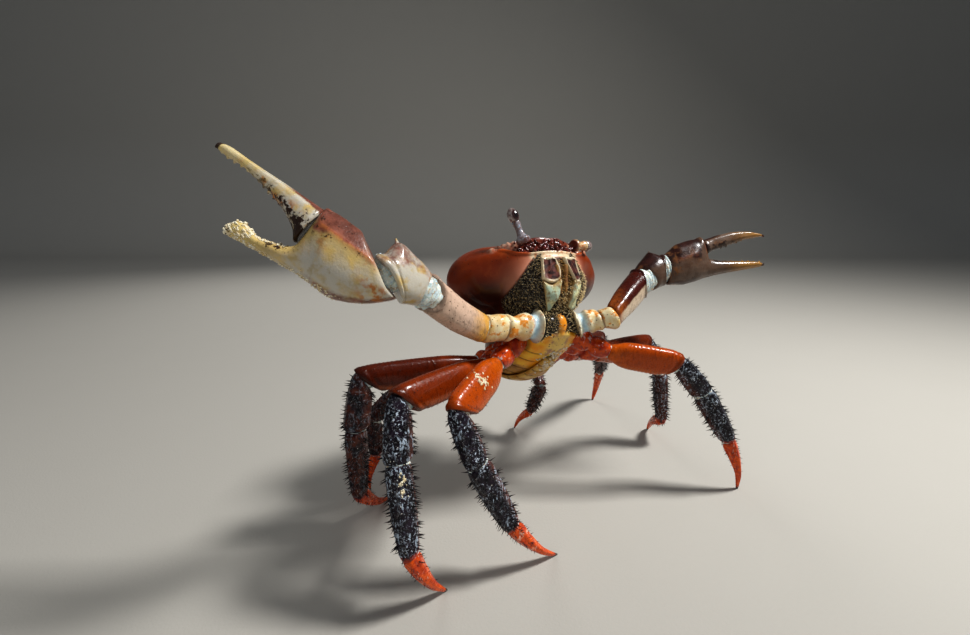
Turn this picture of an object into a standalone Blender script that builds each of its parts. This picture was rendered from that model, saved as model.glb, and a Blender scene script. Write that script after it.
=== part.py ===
"""Land crab raising its claws: a still, life-size model with one object for each named part of the body.

Units are metres and +Z is up. The crab faces -Y and its right side is at -X. Its eight walking legs
stand on the floor, Z = 0, on small flats. The body is shaped in a frame of its own, in which X runs
to the crab's left, Y to its tail and Z out of its back. That frame is pitched nose up, rolled a
little and lifted off the floor. Every limb piece is shaped along its own X axis, with its origin at
the joint nearer the body and its Z axis towards the upper side, and then turned into place.
"""

import math

import bmesh
import bpy
from mathutils import Matrix, Vector

# ------------------------------------------------------------------ driving dimensions
CARAPACE_WIDTH = 0.108              # widest place of the shell, across the gill chambers
MM = CARAPACE_WIDTH / 108           # every table below is in millimetres at that width
GAP = 0.3 * MM                      # left between two pieces that meet
BODY_HEIGHT = 127                   # of the body frame's origin over the floor
BODY_PITCH = 37                     # degrees, nose up
BODY_ROLL = 4.5                     # degrees, left side down
FOOT_SOLE = 0.25                    # height of a toe's centre line where the floor trims it flat

# ------------------------------------------------------------------ shell and thorax
# A bulge is an ellipsoid: centre x, y, z and radii x, y, z. One off the mid-line has a twin.
SHELL_CENTRE = (0, -6, 4)
SHELL_BULGES = (
    ((25.5, -8.5, 10), (27.3, 21, 20)),     # gill chamber
    ((0, -2, 10.5), (34, 40, 17)),          # gut and heart
    ((0, 4, -6), (29, 33, 18)),             # flanks, down to the thorax
    ((0, -26.5, 0), (27, 18.5, 23.5)),      # face
    ((0, -22, 12), (41, 20.5, 8.5)),        # brow, from one eye corner to the other
)
SHELL_SEGMENTS = (44, 24)               # round the body, and from the back to the belly
THORAX_CENTRE = (0, 3, -24)
THORAX_BULGES = (
    ((0, 10.5, -25), (25, 30, 21)),     # walking legs
    ((0, -13, -27), (22, 19, 15)),      # breast plate between the claws
)
THORAX_SEGMENTS = (32, 16)
BULGE_BLEND = 3.2                       # how softly bulges run together
SEAM_POINT = (0, -38, -25)              # the plane where the shell ends and the thorax begins
SEAM_RISE = 12                          # degrees that this plane climbs towards the tail

# ------------------------------------------------------------------ face
EYE_CORNER = (30, -30, 15)            # root of the tooth at the outer corner of an orbit
EYE_CORNER_TIP = (38.5, -37.5, 20.5)
EYE_CORNER_RADIUS = 4.5
ORBIT_CENTRE = (25.5, -39.5, 15)
ORBIT_RADII = (12.5, 5.2, 4.6)
ORBIT_TURN = 14                         # degrees that an orbit falls back towards its outer corner
STALK_ROOTS = {"right": (-17.5, -43.6, 14.6), "left": (16.5, -44, 14.2)}
STALK_TIPS = {"right": (-23.2, -47.6, 36), "left": (34, -40.4, 16.6)}
STALK_SHARE = 0.62                      # of that length taken by the stalk, before the eye
STALK_ROWS = ((0, 2.5), (2, 2.9), (4.5, 2.2), (8, 1.9), (11, 2.3), (13, 2.7))
EYE_RADII = (4.6, 2.5, 2.7)             # half length, half width and half height of an eye
MOUTH_TOP = 4.5
MOUTH_BOTTOM = -23
MOUTH_PLATE_THICKNESS = 2.2
PLATE_CLEARANCE = 0.9                   # a plate's facets cut inside the curve that they follow

# ------------------------------------------------------------------ tail, folded under the thorax
TAIL_ARC = (12, 128)                    # degrees round the body, from straight back to under the breast
TAIL_HALF_WIDTHS = (15, 15.5, 13.5, 11, 8.5, 6.5, 5, 3.2)
TAIL_THICKNESS = 2.2

# ------------------------------------------------------------------ walking legs
# Places are in the body frame, on the left side. The right side mirrors them.
LEG_PAIRS = (2, 3, 4, 5)
LEG_ROOTS = {2: (24, -16, -34), 3: (27, -4.5, -34), 4: (26, 9, -33), 5: (20, 22.5, -30)}
LEG_HIPS = {2: (40, -17, -46), 3: (41, -5, -43), 4: (37, 11, -36), 5: (32, 23, -32)}
LEG_LENGTHS = {
    2: {"merus": 45, "carpus": 28, "propodus": 40, "dactyl": 40},
    3: {"merus": 64, "carpus": 28, "propodus": 42, "dactyl": 39},
    4: {"merus": 68, "carpus": 30, "propodus": 43, "dactyl": 37},
    5: {"merus": 53, "carpus": 22, "propodus": 29, "dactyl": 31},
}
LEG_GIRTH = {2: 1.0, 3: 1.05, 4: 1.05, 5: 0.8}
# Degrees: bearing is 0 straight out to the side and grows forwards, lean tips the leg's plane,
# turn swings the last two lengths, and the slopes are those of the merus, carpus and propodus.
# A toe either curls under the leg or points away from the body.
LEG_POSES = {
    ("right", 2): {"bearing": 29, "turn": -11.5, "lean": 17.5, "toe": "under",
                   "slopes": (-14.5, -97.5, -106.5)},
    ("right", 3): {"bearing": 21.5, "turn": 14, "lean": 13.5, "toe": "under",
                   "slopes": (0.5, -72, -83.5)},
    ("right", 4): {"bearing": -6.5, "turn": 46.5, "lean": -2.5, "toe": "under",
                   "slopes": (0.5, -78.5, -90.5)},
    ("right", 5): {"bearing": -11.5, "turn": 2, "lean": -14, "toe": "away",
                   "slopes": (-17.5, -49, -92.5)},
    ("left", 2): {"bearing": 35, "turn": 25, "lean": -13.5, "toe": "away",
                   "slopes": (-10.5, -47.5, -57.5)},
    ("left", 3): {"bearing": -12.5, "turn": -52, "lean": 11, "toe": "away",
                   "slopes": (-6, -55.5, -82.5)},
    ("left", 4): {"bearing": -30.5, "turn": -5, "lean": -11.5, "toe": "away",
                   "slopes": (-7, -35, -43.5)},
    ("left", 5): {"bearing": -74.5, "turn": -22.5, "lean": 2.5, "toe": "away",
                   "slopes": (-23.5, -137, -64)},
}
# A row is the share of the length, the lowest and highest edge and the half thickness.
LEG_ROWS = {
    "merus": ((-0.12, -4.2, 4, 3.4), (0.08, -5.6, 5.2, 4.1), (0.35, -7.8, 7, 4.9), (0.7, -7.9, 7.4, 4.9),
              (0.95, -6.6, 7.2, 4.7), (1.12, -3.4, 5.2, 4)),
    "carpus": ((-0.2, -3, 3.4, 3.2), (0.02, -4.6, 6.2, 4.3), (0.4, -6, 7.2, 4.9), (0.85, -6.8, 7, 5.1),
               (1.1, -5.8, 5.8, 4.5)),
    "propodus": ((-0.1, -5.2, 5.4, 4.2), (0.08, -6.8, 6.8, 5), (0.5, -6.4, 6.6, 4.8), (0.92, -4.9, 5, 4),
                 (1.06, -3.6, 3.6, 3)),
    "dactyl": ((-0.08, -3.6, 3.4, 3), (0.06, -4, 4.6, 3.6), (0.35, -1.5, 5.3, 3.1), (0.68, 0.5, 4.4, 2.2),
               (0.9, -0.1, 2.2, 1.3), (1.02, -0.7, 0.6, 0.6)),
}
BASE_ROWS = ((-0.3, -6.2, 6.2, 5.8), (0.1, -6.6, 6.6, 6.1), (0.42, -6.4, 6.4, 5.6), (0.55, -5.4, 5.4, 4.9),
             (0.8, -6, 6, 4.9), (1.15, -5, 5, 4.2))
LEG_FINISHES = {"merus": "leg_orange", "carpus": "leg_black", "propodus": "leg_black", "dactyl": "toe_red"}
LEG_SIDES = {"base": 12, "merus": 12, "carpus": 10, "propodus": 10, "dactyl": 8}

# ------------------------------------------------------------------ claws
# Joints stand in the standing crab's frame: the arm's hinge with its base, elbow, wrist, the tip of
# the fixed finger and the tip of the moving one.
CLAW_ROOTS = {"right": (-16.5, -32, -30.5), "left": (16.5, -32, -30.5)}
CLAW_JOINTS = {
    "right": {"hinge": (-49.5, -35.5, 123), "elbow": (-87.5, -45, 149.5), "wrist": (-108.5, -52.5, 158.5),
              "fixed_tip": (-165.5, -24.5, 177.5), "finger_tip": (-164, -13.5, 211.5)},
    "left": {"hinge": (29, -52.5, 123), "elbow": (65, -39.5, 140), "wrist": (85, -41, 147),
             "fixed_tip": (142.5, -73, 149.5), "finger_tip": (148, -67.5, 167.5)},
}
WRIST_TILT = {"right": 40, "left": 0}   # degrees that the palm's rear edge leans back
# Rows of distance along, lowest and highest edge and half thickness.
CLAW_BASE_ROWS = {
    "right": ((-6, -7.2, 7.2, 7), (4, -7.6, 7.6, 7.4), (11, -7, 7, 6.8), (14.5, -6.2, 6.2, 6),
              (20, -7, 7, 6.2), (36, -7.2, 7.2, 6)),
    "left": ((-6, -6.4, 6.4, 6.2), (4, -6.8, 6.8, 6.6), (9, -6.4, 6.4, 6), (12, -5.6, 5.6, 5.4),
             (16, -6, 6, 5.6), (28, -5.8, 5.8, 5.4)),
}
CLAW_ARM_ROWS = {
    "right": ((-6, -6.8, 6.8, 5.6), (6, -8.4, 6.6, 6.4), (22, -9.8, 6.2, 7.2), (38, -9.2, 7.4, 7.4),
              (47, -8, 8, 7), (56, -5.4, 6, 5.6)),
    "left": ((-6, -5.4, 6.2, 4.8), (4, -6.2, 7.6, 5.6), (20, -8.2, 9, 6.8), (34, -8.8, 8.8, 7.2),
             (42, -8, 8.6, 6.8), (50, -5, 6, 5.2)),
}
CLAW_CARPUS_ROWS = {
    "right": ((-7, -5, 5.4, 5), (0, -8, 7.6, 7.4), (8, -9.6, 10.4, 9), (18, -9.8, 11, 9.6),
              (26, -8.4, 9, 8.6), (34, -6, 6, 7)),
    "left": ((-7, -5, 5.4, 4.6), (0, -8.2, 7.8, 6.6), (7, -9.6, 9.8, 8), (15, -9.8, 10.2, 8.4),
             (22, -9, 9, 7.6), (28, -7, 7, 6.6)),
}
CARPUS_SPINES = {"right": ((16, 0, 6), (22.5, -1, 17)), "left": ((12, 0, 6), (15.5, -1, 14.6))}
SPINE_RADIUS = {"right": 6.4, "left": 5.2}
PALM_ROWS = {
    "right": ((-14, -5, 3, 5.6), (-4, -10.4, 6.4, 8.6), (7, -14.4, 13.2, 10.4), (17, -15.2, 16.6, 11.2),
              (25, -13, 19.6, 10.8), (29.6, -11, 20.4, 9.2), (38.2, -8, 1.8, 6.6), (43, -6.8, 0.2, 5.8),
              (52, -4.2, 0.6, 4.6), (57, -3, 3.2, 3.6), (61.5, -1.8, 5.2, 3), (66.6, -0.6, 2.4, 1.6)),
    "left": ((-6, -8, 7, 6), (2, -11.2, 10.4, 8), (9, -11.2, 16, 9.2), (17, -9.8, 18.6, 9),
             (25.2, -7.4, 18.2, 7.2), (28.4, -6.6, 5.4, 5.4), (37, -4.9, 3.1, 4.4), (51, -2.9, 2.3, 3.2),
             (60, -1.6, 1.8, 2.1), (66, -0.4, 0.7, 0.9)),
}
FINGER_HINGES = {"right": (34.4, 11), "left": (26.8, 12.4)}     # along and above the palm's axis
FINGER_ROWS = {
    "right": ((-3, -8.6, 8, 6.4), (0.5, -9.2, 8.8, 7.2), (5, -5.6, 8.4, 6.6), (14, -1.6, 7, 5.2),
              (25, 0.5, 5.4, 4), (37, 0.7, 4.1, 3), (46, -0.8, 3.2, 2.4), (50.6, -0.9, 1.6, 1.2)),
    "left": ((-3, -4.2, 4.2, 4), (0.5, -4.6, 4.9, 4.6), (6, -2.9, 5.6, 4.2), (12, -1.8, 6.2, 3.8),
             (20, -0.5, 6.3, 3.2), (32, 0.6, 4.8, 2.4), (39, 0.2, 2.2, 1.4), (42.4, -0.4, 0.6, 0.6)),
}
CLAW_SIDES = {"base": 14, "merus": 14, "carpus": 14, "palm": 16, "finger": 12}

# ------------------------------------------------------------------ finishes: colour, roughness
FINISHES = {
    "shell_chestnut": ((0.42, 0.11, 0.03), 0.25),
    "belly_ochre": ((0.62, 0.36, 0.08), 0.4),
    "mouth_olive": ((0.45, 0.42, 0.3), 0.4),
    "eye_stalk_grey": ((0.35, 0.27, 0.25), 0.35),
    "eye_dark": ((0.02, 0.012, 0.012), 0.08),
    "claw_ivory": ((0.74, 0.66, 0.52), 0.3),
    "claw_brown": ((0.32, 0.16, 0.1), 0.3),
    "leg_orange": ((0.75, 0.15, 0.02), 0.3),
    "leg_black": ((0.03, 0.02, 0.03), 0.3),
    "toe_red": ((0.8, 0.1, 0.01), 0.3),
}

SIDE_SIGN = {"right": -1, "left": 1}


def clear_scene():
    for thing in list(bpy.data.objects):
        bpy.data.objects.remove(thing)


def new_collection(name):
    collection = bpy.data.collections.new(name)
    bpy.context.scene.collection.children.link(collection)
    return collection


def finish(name):
    """The Principled material of that name, made the first time it is asked for."""
    material = bpy.data.materials.get(name)
    if material is None:
        colour, roughness = FINISHES[name]
        material = bpy.data.materials.new(name)
        material.use_nodes = True
        shader = material.node_tree.nodes["Principled BSDF"]
        shader.inputs["Base Color"].default_value = (*colour, 1)
        shader.inputs["Roughness"].default_value = roughness
        shader.inputs["Metallic"].default_value = 0
        material.diffuse_color = (*colour, 1)
    return material


def body_matrix():
    """Turns places in the body frame, in metres, into the standing crab's."""
    pitch = Matrix.Rotation(math.radians(-BODY_PITCH), 4, "X")
    roll = Matrix.Rotation(math.radians(BODY_ROLL), 4, "Y")
    return Matrix.Translation((0, 0, BODY_HEIGHT * MM)) @ pitch @ roll


def standing(place):
    """A place of the body frame, in millimetres, as a standing place in millimetres."""
    return body_matrix() @ (Vector(place) * MM) / MM


def mirrored(place, side):
    return Vector((place[0] * SIDE_SIGN[side], place[1], place[2]))


def limb_frame(start, end, upper_side):
    """Origin at start, X along to end and Z towards the upper side, from standing millimetres."""
    along = (Vector(end) - Vector(start)).normalized()
    across = Vector(upper_side).cross(along).normalized()
    above = along.cross(across)
    turn = Matrix((along, across, above)).transposed().to_4x4()
    return Matrix.Translation(Vector(start) * MM) @ turn


def add_object(name, shape, collection, material, placement, holder):
    """A mesh object from a bmesh that is written in the placement's own frame."""
    mesh = bpy.data.meshes.new(name)
    bmesh.ops.recalc_face_normals(shape, faces=shape.faces)
    shape.to_mesh(mesh)
    shape.free()
    mesh.materials.append(finish(material))
    mesh.shade_smooth()
    mesh.set_sharp_from_angle(angle=math.radians(40))
    thing = bpy.data.objects.new(name, mesh)
    thing.matrix_world = placement
    thing.parent = holder
    collection.objects.link(thing)
    return thing


# ------------------------------------------------------------------ rounded bodies
def bulge_distance(point, centre, radii):
    """About how far a point is outside an ellipsoid."""
    offset = [(value - middle) for value, middle in zip(point, centre)]
    scaled = math.sqrt(sum((value / radius) ** 2 for value, radius in zip(offset, radii)))
    steeper = math.sqrt(sum((value / radius ** 2) ** 2 for value, radius in zip(offset, radii)))
    return scaled * (scaled - 1) / max(steeper, 1e-6)


def all_bulges(bulges):
    twins = [((-centre[0], centre[1], centre[2]), radii) for centre, radii in bulges if centre[0]]
    return list(bulges) + twins


def body_distance(point, bulges):
    """About how far a point is outside bulges that run together softly."""
    total = sum(math.exp(-bulge_distance(point, centre, radii) / BULGE_BLEND) for centre, radii in bulges)
    return -BULGE_BLEND * math.log(max(total, 1e-300))


def surface_point(centre, direction, bulges, lift=0.0):
    """Where a ray from the centre leaves the bulges, in body millimetres, raised by lift."""
    ray = Vector(direction).normalized()
    start = Vector(centre)
    near, far = 1.0, 90.0
    for _ in range(26):
        middle = (near + far) / 2
        if body_distance(start + ray * middle, bulges) < 0:
            near = middle
        else:
            far = middle
    return start + ray * (near + lift)


def surface_normal(point, bulges):
    step = 0.05
    slope = Vector()
    for axis in range(3):
        ahead = Vector(point)
        behind = Vector(point)
        ahead[axis] += step
        behind[axis] -= step
        slope[axis] = body_distance(ahead, bulges) - body_distance(behind, bulges)
    return slope.normalized()


def rounded_body(centre, bulges, segments):
    """A sphere's mesh drawn out to the bulges, in metres of the body frame."""
    shape = bmesh.new()
    bmesh.ops.create_uvsphere(shape, u_segments=segments[0], v_segments=segments[1], radius=1)
    for vertex in shape.verts:
        vertex.co = surface_point(centre, vertex.co, bulges) * MM
    return shape


def trim(shape, point, outward):
    """Cuts away what lies beyond a plane and closes the cut."""
    geometry = shape.verts[:] + shape.edges[:] + shape.faces[:]
    bmesh.ops.bisect_plane(shape, geom=geometry, dist=1e-7, plane_co=point, plane_no=outward,
                           clear_outer=True)
    rim = [edge for edge in shape.edges if edge.is_boundary]
    if rim:
        bmesh.ops.holes_fill(shape, edges=rim)


def surface_plate(spots, centre, bulges, clearance, thickness):
    """A closed plate lying a clearance over the bulges. Spots is a grid of directions."""
    shape = bmesh.new()
    layers = []
    rows, columns = len(spots), len(spots[0])
    for outer in (False, True):
        layer = []
        for row, line in enumerate(spots):
            places = []
            for column, direction in enumerate(line):
                at_rim = row in (0, rows - 1) or column in (0, columns - 1)
                lift = clearance
                if outer:
                    lift += thickness * (0.55 if at_rim else 1)
                place = surface_point(centre, direction, bulges, lift) * MM
                places.append(shape.verts.new(place))
            layer.append(places)
        layers.append(layer)
    inner, top = layers
    for row in range(rows - 1):
        for column in range(columns - 1):
            for layer in layers:
                shape.faces.new((layer[row][column], layer[row][column + 1],
                                 layer[row + 1][column + 1], layer[row + 1][column]))
    rim = [(0, column) for column in range(columns)]
    rim += [(row, columns - 1) for row in range(1, rows)]
    rim += [(rows - 1, column) for column in range(columns - 2, -1, -1)]
    rim += [(row, 0) for row in range(rows - 2, 0, -1)]
    for (row, column), (next_row, next_column) in zip(rim, rim[1:] + rim[:1]):
        shape.faces.new((inner[row][column], inner[next_row][next_column],
                         top[next_row][next_column], top[row][column]))
    return shape


# ------------------------------------------------------------------ limb pieces
def loft(rows, sides):
    """Oval rings along X, each from its lowest to its highest edge, skinned and closed."""
    shape = bmesh.new()
    rings = []
    for along, lowest, highest, thickness in rows:
        middle = (lowest + highest) / 2
        height = (highest - lowest) / 2
        ring = []
        for side in range(sides):
            angle = 2 * math.pi * (side + 0.5) / sides
            place = Vector((along, thickness * math.cos(angle), middle + height * math.sin(angle)))
            ring.append(shape.verts.new(place * MM))
        rings.append(ring)
    for ring, following in zip(rings, rings[1:]):
        for side in range(sides):
            shape.faces.new((ring[side - 1], ring[side], following[side], following[side - 1]))
    shape.faces.new(rings[0])
    shape.faces.new(rings[-1])
    return shape


def stretch(rows, length, girth):
    """Rows given as shares of a length, as rows in millimetres."""
    return [(share * length, low * girth, high * girth, thick * girth) for share, low, high, thick in rows]


def joint_plane(before, joint, after):
    """The plane through a joint that halves its bend, pointing along the limb."""
    incoming = (Vector(joint) - Vector(before)).normalized()
    outgoing = (Vector(after) - Vector(joint)).normalized()
    return Vector(joint), (incoming + outgoing).normalized()


def trim_limb(shape, placement, plane, keeps_outer_end):
    """Trims a limb piece at a joint plane, half a gap short of it."""
    point, normal = plane
    outward = -normal if keeps_outer_end else normal
    place = point * MM - outward * GAP / 2
    into = placement.inverted()
    trim(shape, into @ place, into.to_3x3() @ outward)


def cutter(name, shape, collection, placement, holder):
    thing = add_object(name, shape, collection, "eye_dark", placement, holder)
    thing.hide_render = True
    thing.display_type = "WIRE"
    return thing


def combine(target, tool, operation):
    modifier = target.modifiers.new(operation.lower() + "_" + tool.name, "BOOLEAN")
    modifier.operation = operation
    modifier.solver = "EXACT"
    modifier.object = tool


def spike(root, tip, radius):
    """A cone from a root to a tip, in millimetres of the frame that it is drawn in."""
    along = Vector(tip) - Vector(root)
    shape = bmesh.new()
    bmesh.ops.create_cone(shape, cap_ends=True, segments=8, radius1=radius * MM, radius2=0.4 * MM,
                          depth=along.length * MM)
    turn = Vector((0, 0, 1)).rotation_difference(along).to_matrix().to_4x4()
    middle = (Vector(root) + Vector(tip)) / 2 * MM
    bmesh.ops.transform(shape, matrix=Matrix.Translation(middle) @ turn, verts=shape.verts)
    return shape


def spindle(centre, radii, turn_degrees, sides):
    """An ellipsoid turned about Z, in millimetres of the frame that it is drawn in."""
    shape = bmesh.new()
    bmesh.ops.create_uvsphere(shape, u_segments=sides, v_segments=sides // 2, radius=MM)
    placement = Matrix.Translation(Vector(centre) * MM) @ Matrix.Rotation(math.radians(turn_degrees), 4, "Z")
    bmesh.ops.transform(shape, matrix=placement @ Matrix.Diagonal((*radii, 1)), verts=shape.verts)
    return shape


# ------------------------------------------------------------------ the crab
class Crab:
    def __init__(self):
        self.parts = new_collection("land_crab")
        self.cutters = new_collection("cutters")
        self.holder = bpy.data.objects.new("crab_frame", None)
        self.parts.objects.link(self.holder)
        self.body = body_matrix()
        self.shell_bulges = all_bulges(SHELL_BULGES)
        self.thorax_bulges = all_bulges(THORAX_BULGES)

    def add(self, name, shape, material, placement):
        return add_object(name, shape, self.parts, material, placement, self.holder)

    def add_cutter(self, name, shape, placement):
        return cutter(name, shape, self.cutters, placement, self.holder)

    # -------------------------------------------------------------- body
    def seam(self):
        rise = math.radians(SEAM_RISE)
        return Vector(SEAM_POINT) * MM, Vector((0, -math.sin(rise), math.cos(rise)))

    def build_carapace(self):
        point, up = self.seam()
        shape = rounded_body(SHELL_CENTRE, self.shell_bulges, SHELL_SEGMENTS)
        trim(shape, point + up * GAP / 2, -up)
        carapace = self.add("carapace", shape, "shell_chestnut", self.body)
        for side in SIDE_SIGN:
            turn = -ORBIT_TURN if side == "right" else ORBIT_TURN
            orbit = spindle(mirrored(ORBIT_CENTRE, side), ORBIT_RADII, turn, 16)
            combine(carapace, self.add_cutter("orbit_" + side, orbit, self.body), "DIFFERENCE")
            tooth = spike(mirrored(EYE_CORNER, side), mirrored(EYE_CORNER_TIP, side), EYE_CORNER_RADIUS)
            combine(carapace, self.add_cutter("eye_corner_" + side, tooth, self.body), "UNION")
        root, tip = Vector(STALK_ROOTS["right"]), Vector(STALK_TIPS["right"])
        notch = spike(root + (root - tip) * 0.15, tip, 3.8)
        combine(carapace, self.add_cutter("stalk_notch", notch, self.body), "DIFFERENCE")

    def build_thorax(self):
        point, up = self.seam()
        shape = rounded_body(THORAX_CENTRE, self.thorax_bulges, THORAX_SEGMENTS)
        trim(shape, point - up * GAP / 2, up)
        self.add("thorax", shape, "belly_ochre", self.body)

    def build_tail(self):
        first, last = TAIL_ARC
        count = len(TAIL_HALF_WIDTHS)
        spots = []
        for row, half_width in enumerate(TAIL_HALF_WIDTHS):
            angle = math.radians(first + (last - first) * row / (count - 1))
            middle = surface_point(THORAX_CENTRE, (0, math.cos(angle), -math.sin(angle)), self.thorax_bulges)
            reach = middle - Vector(THORAX_CENTRE)
            spots.append([reach + Vector((half_width * share, 0, 0)) for share in (-1, -0.55, 0, 0.55, 1)])
        shape = surface_plate(spots, THORAX_CENTRE, self.thorax_bulges, PLATE_CLEARANCE, TAIL_THICKNESS)
        point, up = self.seam()
        trim(shape, point - up * GAP / 2, up)
        self.add("abdomen", shape, "belly_ochre", self.body)

    def build_mouth(self):
        """Two plates that hang side by side over the mouth, with a gap between them that widens low down."""
        for side, sign in SIDE_SIGN.items():
            spots = []
            for row in range(7):
                share = row / 6
                height = MOUTH_TOP + (MOUTH_BOTTOM - MOUTH_TOP) * share
                inner = 0.8 + 3.4 * math.sin(math.pi * share ** 1.3)
                outer = 11.5 + 1.2 * math.sin(math.pi * share) - 3.5 * share ** 3
                line = []
                for column in range(4):
                    across = inner + (outer - inner) * column / 3
                    line.append(Vector((sign * across, -46, height)) - Vector(SHELL_CENTRE))
                spots.append(line)
            shape = surface_plate(spots, SHELL_CENTRE, self.shell_bulges, PLATE_CLEARANCE,
                                  MOUTH_PLATE_THICKNESS)
            self.add("mouth_plate_" + side, shape, "mouth_olive", self.body)

    def build_eyes(self):
        for side in SIDE_SIGN:
            root, tip = standing(STALK_ROOTS[side]), standing(STALK_TIPS[side])
            placement = limb_frame(root, tip, self.body.to_3x3() @ Vector((0, -1, 0)))
            length = (tip - root).length
            meeting = root.lerp(tip, STALK_SHARE)
            plane = (meeting, (tip - root).normalized())
            stretched = length * STALK_SHARE / STALK_ROWS[-2][0]
            rows = [(along * stretched, -radius, radius, radius) for along, radius in STALK_ROWS]
            stalk = loft(rows, 10)
            trim_limb(stalk, placement, plane, keeps_outer_end=False)
            self.add("eyestalk_" + side, stalk, "eye_stalk_grey", placement)
            middle = (length - EYE_RADII[0], 0, 0)
            ball = spindle(middle, EYE_RADII, 0, 12)
            trim_limb(ball, placement, plane, keeps_outer_end=True)
            self.add("eye_" + side, ball, "eye_dark", placement)

    # -------------------------------------------------------------- limbs
    def base_piece(self, name, root, hip, rows, sides, material, upper_side, inner_planes, outer_planes):
        """First piece of a limb, from a flat that lies a gap off the thorax.

        It keeps what lies beyond each inner plane and short of each outer plane.
        """
        direction = Vector(root) - Vector(THORAX_CENTRE)
        place = surface_point(THORAX_CENTRE, direction, self.thorax_bulges)
        normal = self.body.to_3x3() @ surface_normal(place, self.thorax_bulges)
        start = standing(place)
        placement = limb_frame(start, hip, upper_side)
        shape = loft(rows, sides)
        for plane in [(start, normal)] + inner_planes:
            trim_limb(shape, placement, plane, keeps_outer_end=True)
        for plane in outer_planes:
            trim_limb(shape, placement, plane, keeps_outer_end=False)
        self.add(name, shape, material, placement)

    def leg_joints(self, side, pair):
        """Joints from the hip to the toe, with each piece's upper side, in standing millimetres."""
        pose = LEG_POSES[side, pair]
        sign = SIDE_SIGN[side]
        lean = math.radians(pose["lean"])
        bearing = math.radians(pose["bearing"])
        outward = Vector((sign * math.cos(bearing), -math.sin(bearing), 0))
        sideways = Vector((-outward.y, outward.x, 0)) * sign
        up = Vector((0, 0, math.cos(lean))) + sideways * math.sin(lean)
        joints = [standing(mirrored(LEG_HIPS[pair], side))]
        upper_sides = []
        slopes = [math.radians(slope) for slope in pose["slopes"]] + [None]
        for piece, slope in zip(LEG_FINISHES, slopes):
            length = LEG_LENGTHS[pair][piece]
            if piece in ("propodus", "dactyl"):
                turned = bearing + math.radians(pose["turn"])
                outward = Vector((sign * math.cos(turned), -math.sin(turned), 0))
            if slope is None:
                drop = (joints[-1].z - FOOT_SOLE) / (length * math.cos(lean))
                slope = -math.asin(min(1, drop))
                if pose["toe"] == "under":
                    slope = -math.pi - slope
            joints.append(joints[-1] + length * (math.cos(slope) * outward + math.sin(slope) * up))
            upper_sides.append(math.cos(slope) * up - math.sin(slope) * outward)
        return joints, upper_sides

    def between_bases(self, side, pair):
        """The plane midway between a leg's base and the one behind it, pointing back."""
        root, next_root, hip, next_hip = [standing(mirrored(places[which], side))
                                          for places in (LEG_ROOTS, LEG_HIPS) for which in (pair, pair + 1)]
        outward = hip + next_hip - root - next_root
        backward = next_root + next_hip - root - hip
        backward -= backward.project(outward)
        return (root + next_root + hip + next_hip) / 4, backward.normalized()

    def build_leg(self, side, pair):
        prefix = f"leg_{side}_{pair}_"
        girth = LEG_GIRTH[pair]
        joints, upper_sides = self.leg_joints(side, pair)
        root = standing(mirrored(LEG_ROOTS[pair], side))
        planes = [joint_plane(before, joint, after)
                  for before, joint, after in zip([root] + joints, joints, joints[1:])]
        base_rows = stretch(BASE_ROWS, (joints[0] - root).length, girth)
        behind = [self.between_bases(side, pair)] if pair + 1 in LEG_PAIRS else []
        ahead = [self.between_bases(side, pair - 1)] if pair - 1 in LEG_PAIRS else []
        self.base_piece(prefix + "base", mirrored(LEG_ROOTS[pair], side), joints[0], base_rows,
                        LEG_SIDES["base"], "toe_red", upper_sides[0], ahead, [planes[0]] + behind)
        for index, (piece, material) in enumerate(LEG_FINISHES.items()):
            start, end = joints[index], joints[index + 1]
            placement = limb_frame(start, end, upper_sides[index])
            shape = loft(stretch(LEG_ROWS[piece], (end - start).length, girth), LEG_SIDES[piece])
            trim_limb(shape, placement, planes[index], keeps_outer_end=True)
            if piece == "dactyl":
                into = placement.inverted()
                floor_below = Vector((start.x * MM, start.y * MM, 0))
                trim(shape, into @ floor_below, into.to_3x3() @ Vector((0, 0, -1)))
            else:
                trim_limb(shape, placement, planes[index + 1], keeps_outer_end=False)
            self.add(prefix + piece, shape, material, placement)

    def build_claw(self, side, material):
        prefix = f"claw_{side}_"
        joints = {name: Vector(place) for name, place in CLAW_JOINTS[side].items()}
        hinge, elbow, wrist = joints["hinge"], joints["elbow"], joints["wrist"]
        root = standing(CLAW_ROOTS[side])
        up = Vector((0, 0, 1))
        palm = limb_frame(wrist, joints["fixed_tip"], joints["finger_tip"] - joints["fixed_tip"])
        palm_along, palm_up = palm.col[0].to_3d(), palm.col[2].to_3d()
        tilt = math.radians(WRIST_TILT[side])
        arm_plane = joint_plane(root, hinge, elbow)
        elbow_plane = joint_plane(hinge, elbow, wrist)
        wrist_plane = (wrist, palm_along * math.cos(tilt) - palm_up * math.sin(tilt))

        self.base_piece(prefix + "base", CLAW_ROOTS[side], hinge, CLAW_BASE_ROWS[side], CLAW_SIDES["base"],
                        "claw_ivory", up, [], [arm_plane])

        placement = limb_frame(hinge, elbow, up)
        arm = loft(CLAW_ARM_ROWS[side], CLAW_SIDES["merus"])
        trim_limb(arm, placement, arm_plane, keeps_outer_end=True)
        trim_limb(arm, placement, elbow_plane, keeps_outer_end=False)
        self.add(prefix + "merus", arm, material, placement)

        placement = limb_frame(elbow, wrist, palm_up)
        carpus_shape = loft(CLAW_CARPUS_ROWS[side], CLAW_SIDES["carpus"])
        trim_limb(carpus_shape, placement, elbow_plane, keeps_outer_end=True)
        trim_limb(carpus_shape, placement, wrist_plane, keeps_outer_end=False)
        carpus = self.add(prefix + "carpus", carpus_shape, material, placement)
        spine = spike(*CARPUS_SPINES[side], SPINE_RADIUS[side])
        combine(carpus, self.add_cutter(prefix + "spine", spine, placement), "UNION")

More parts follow.
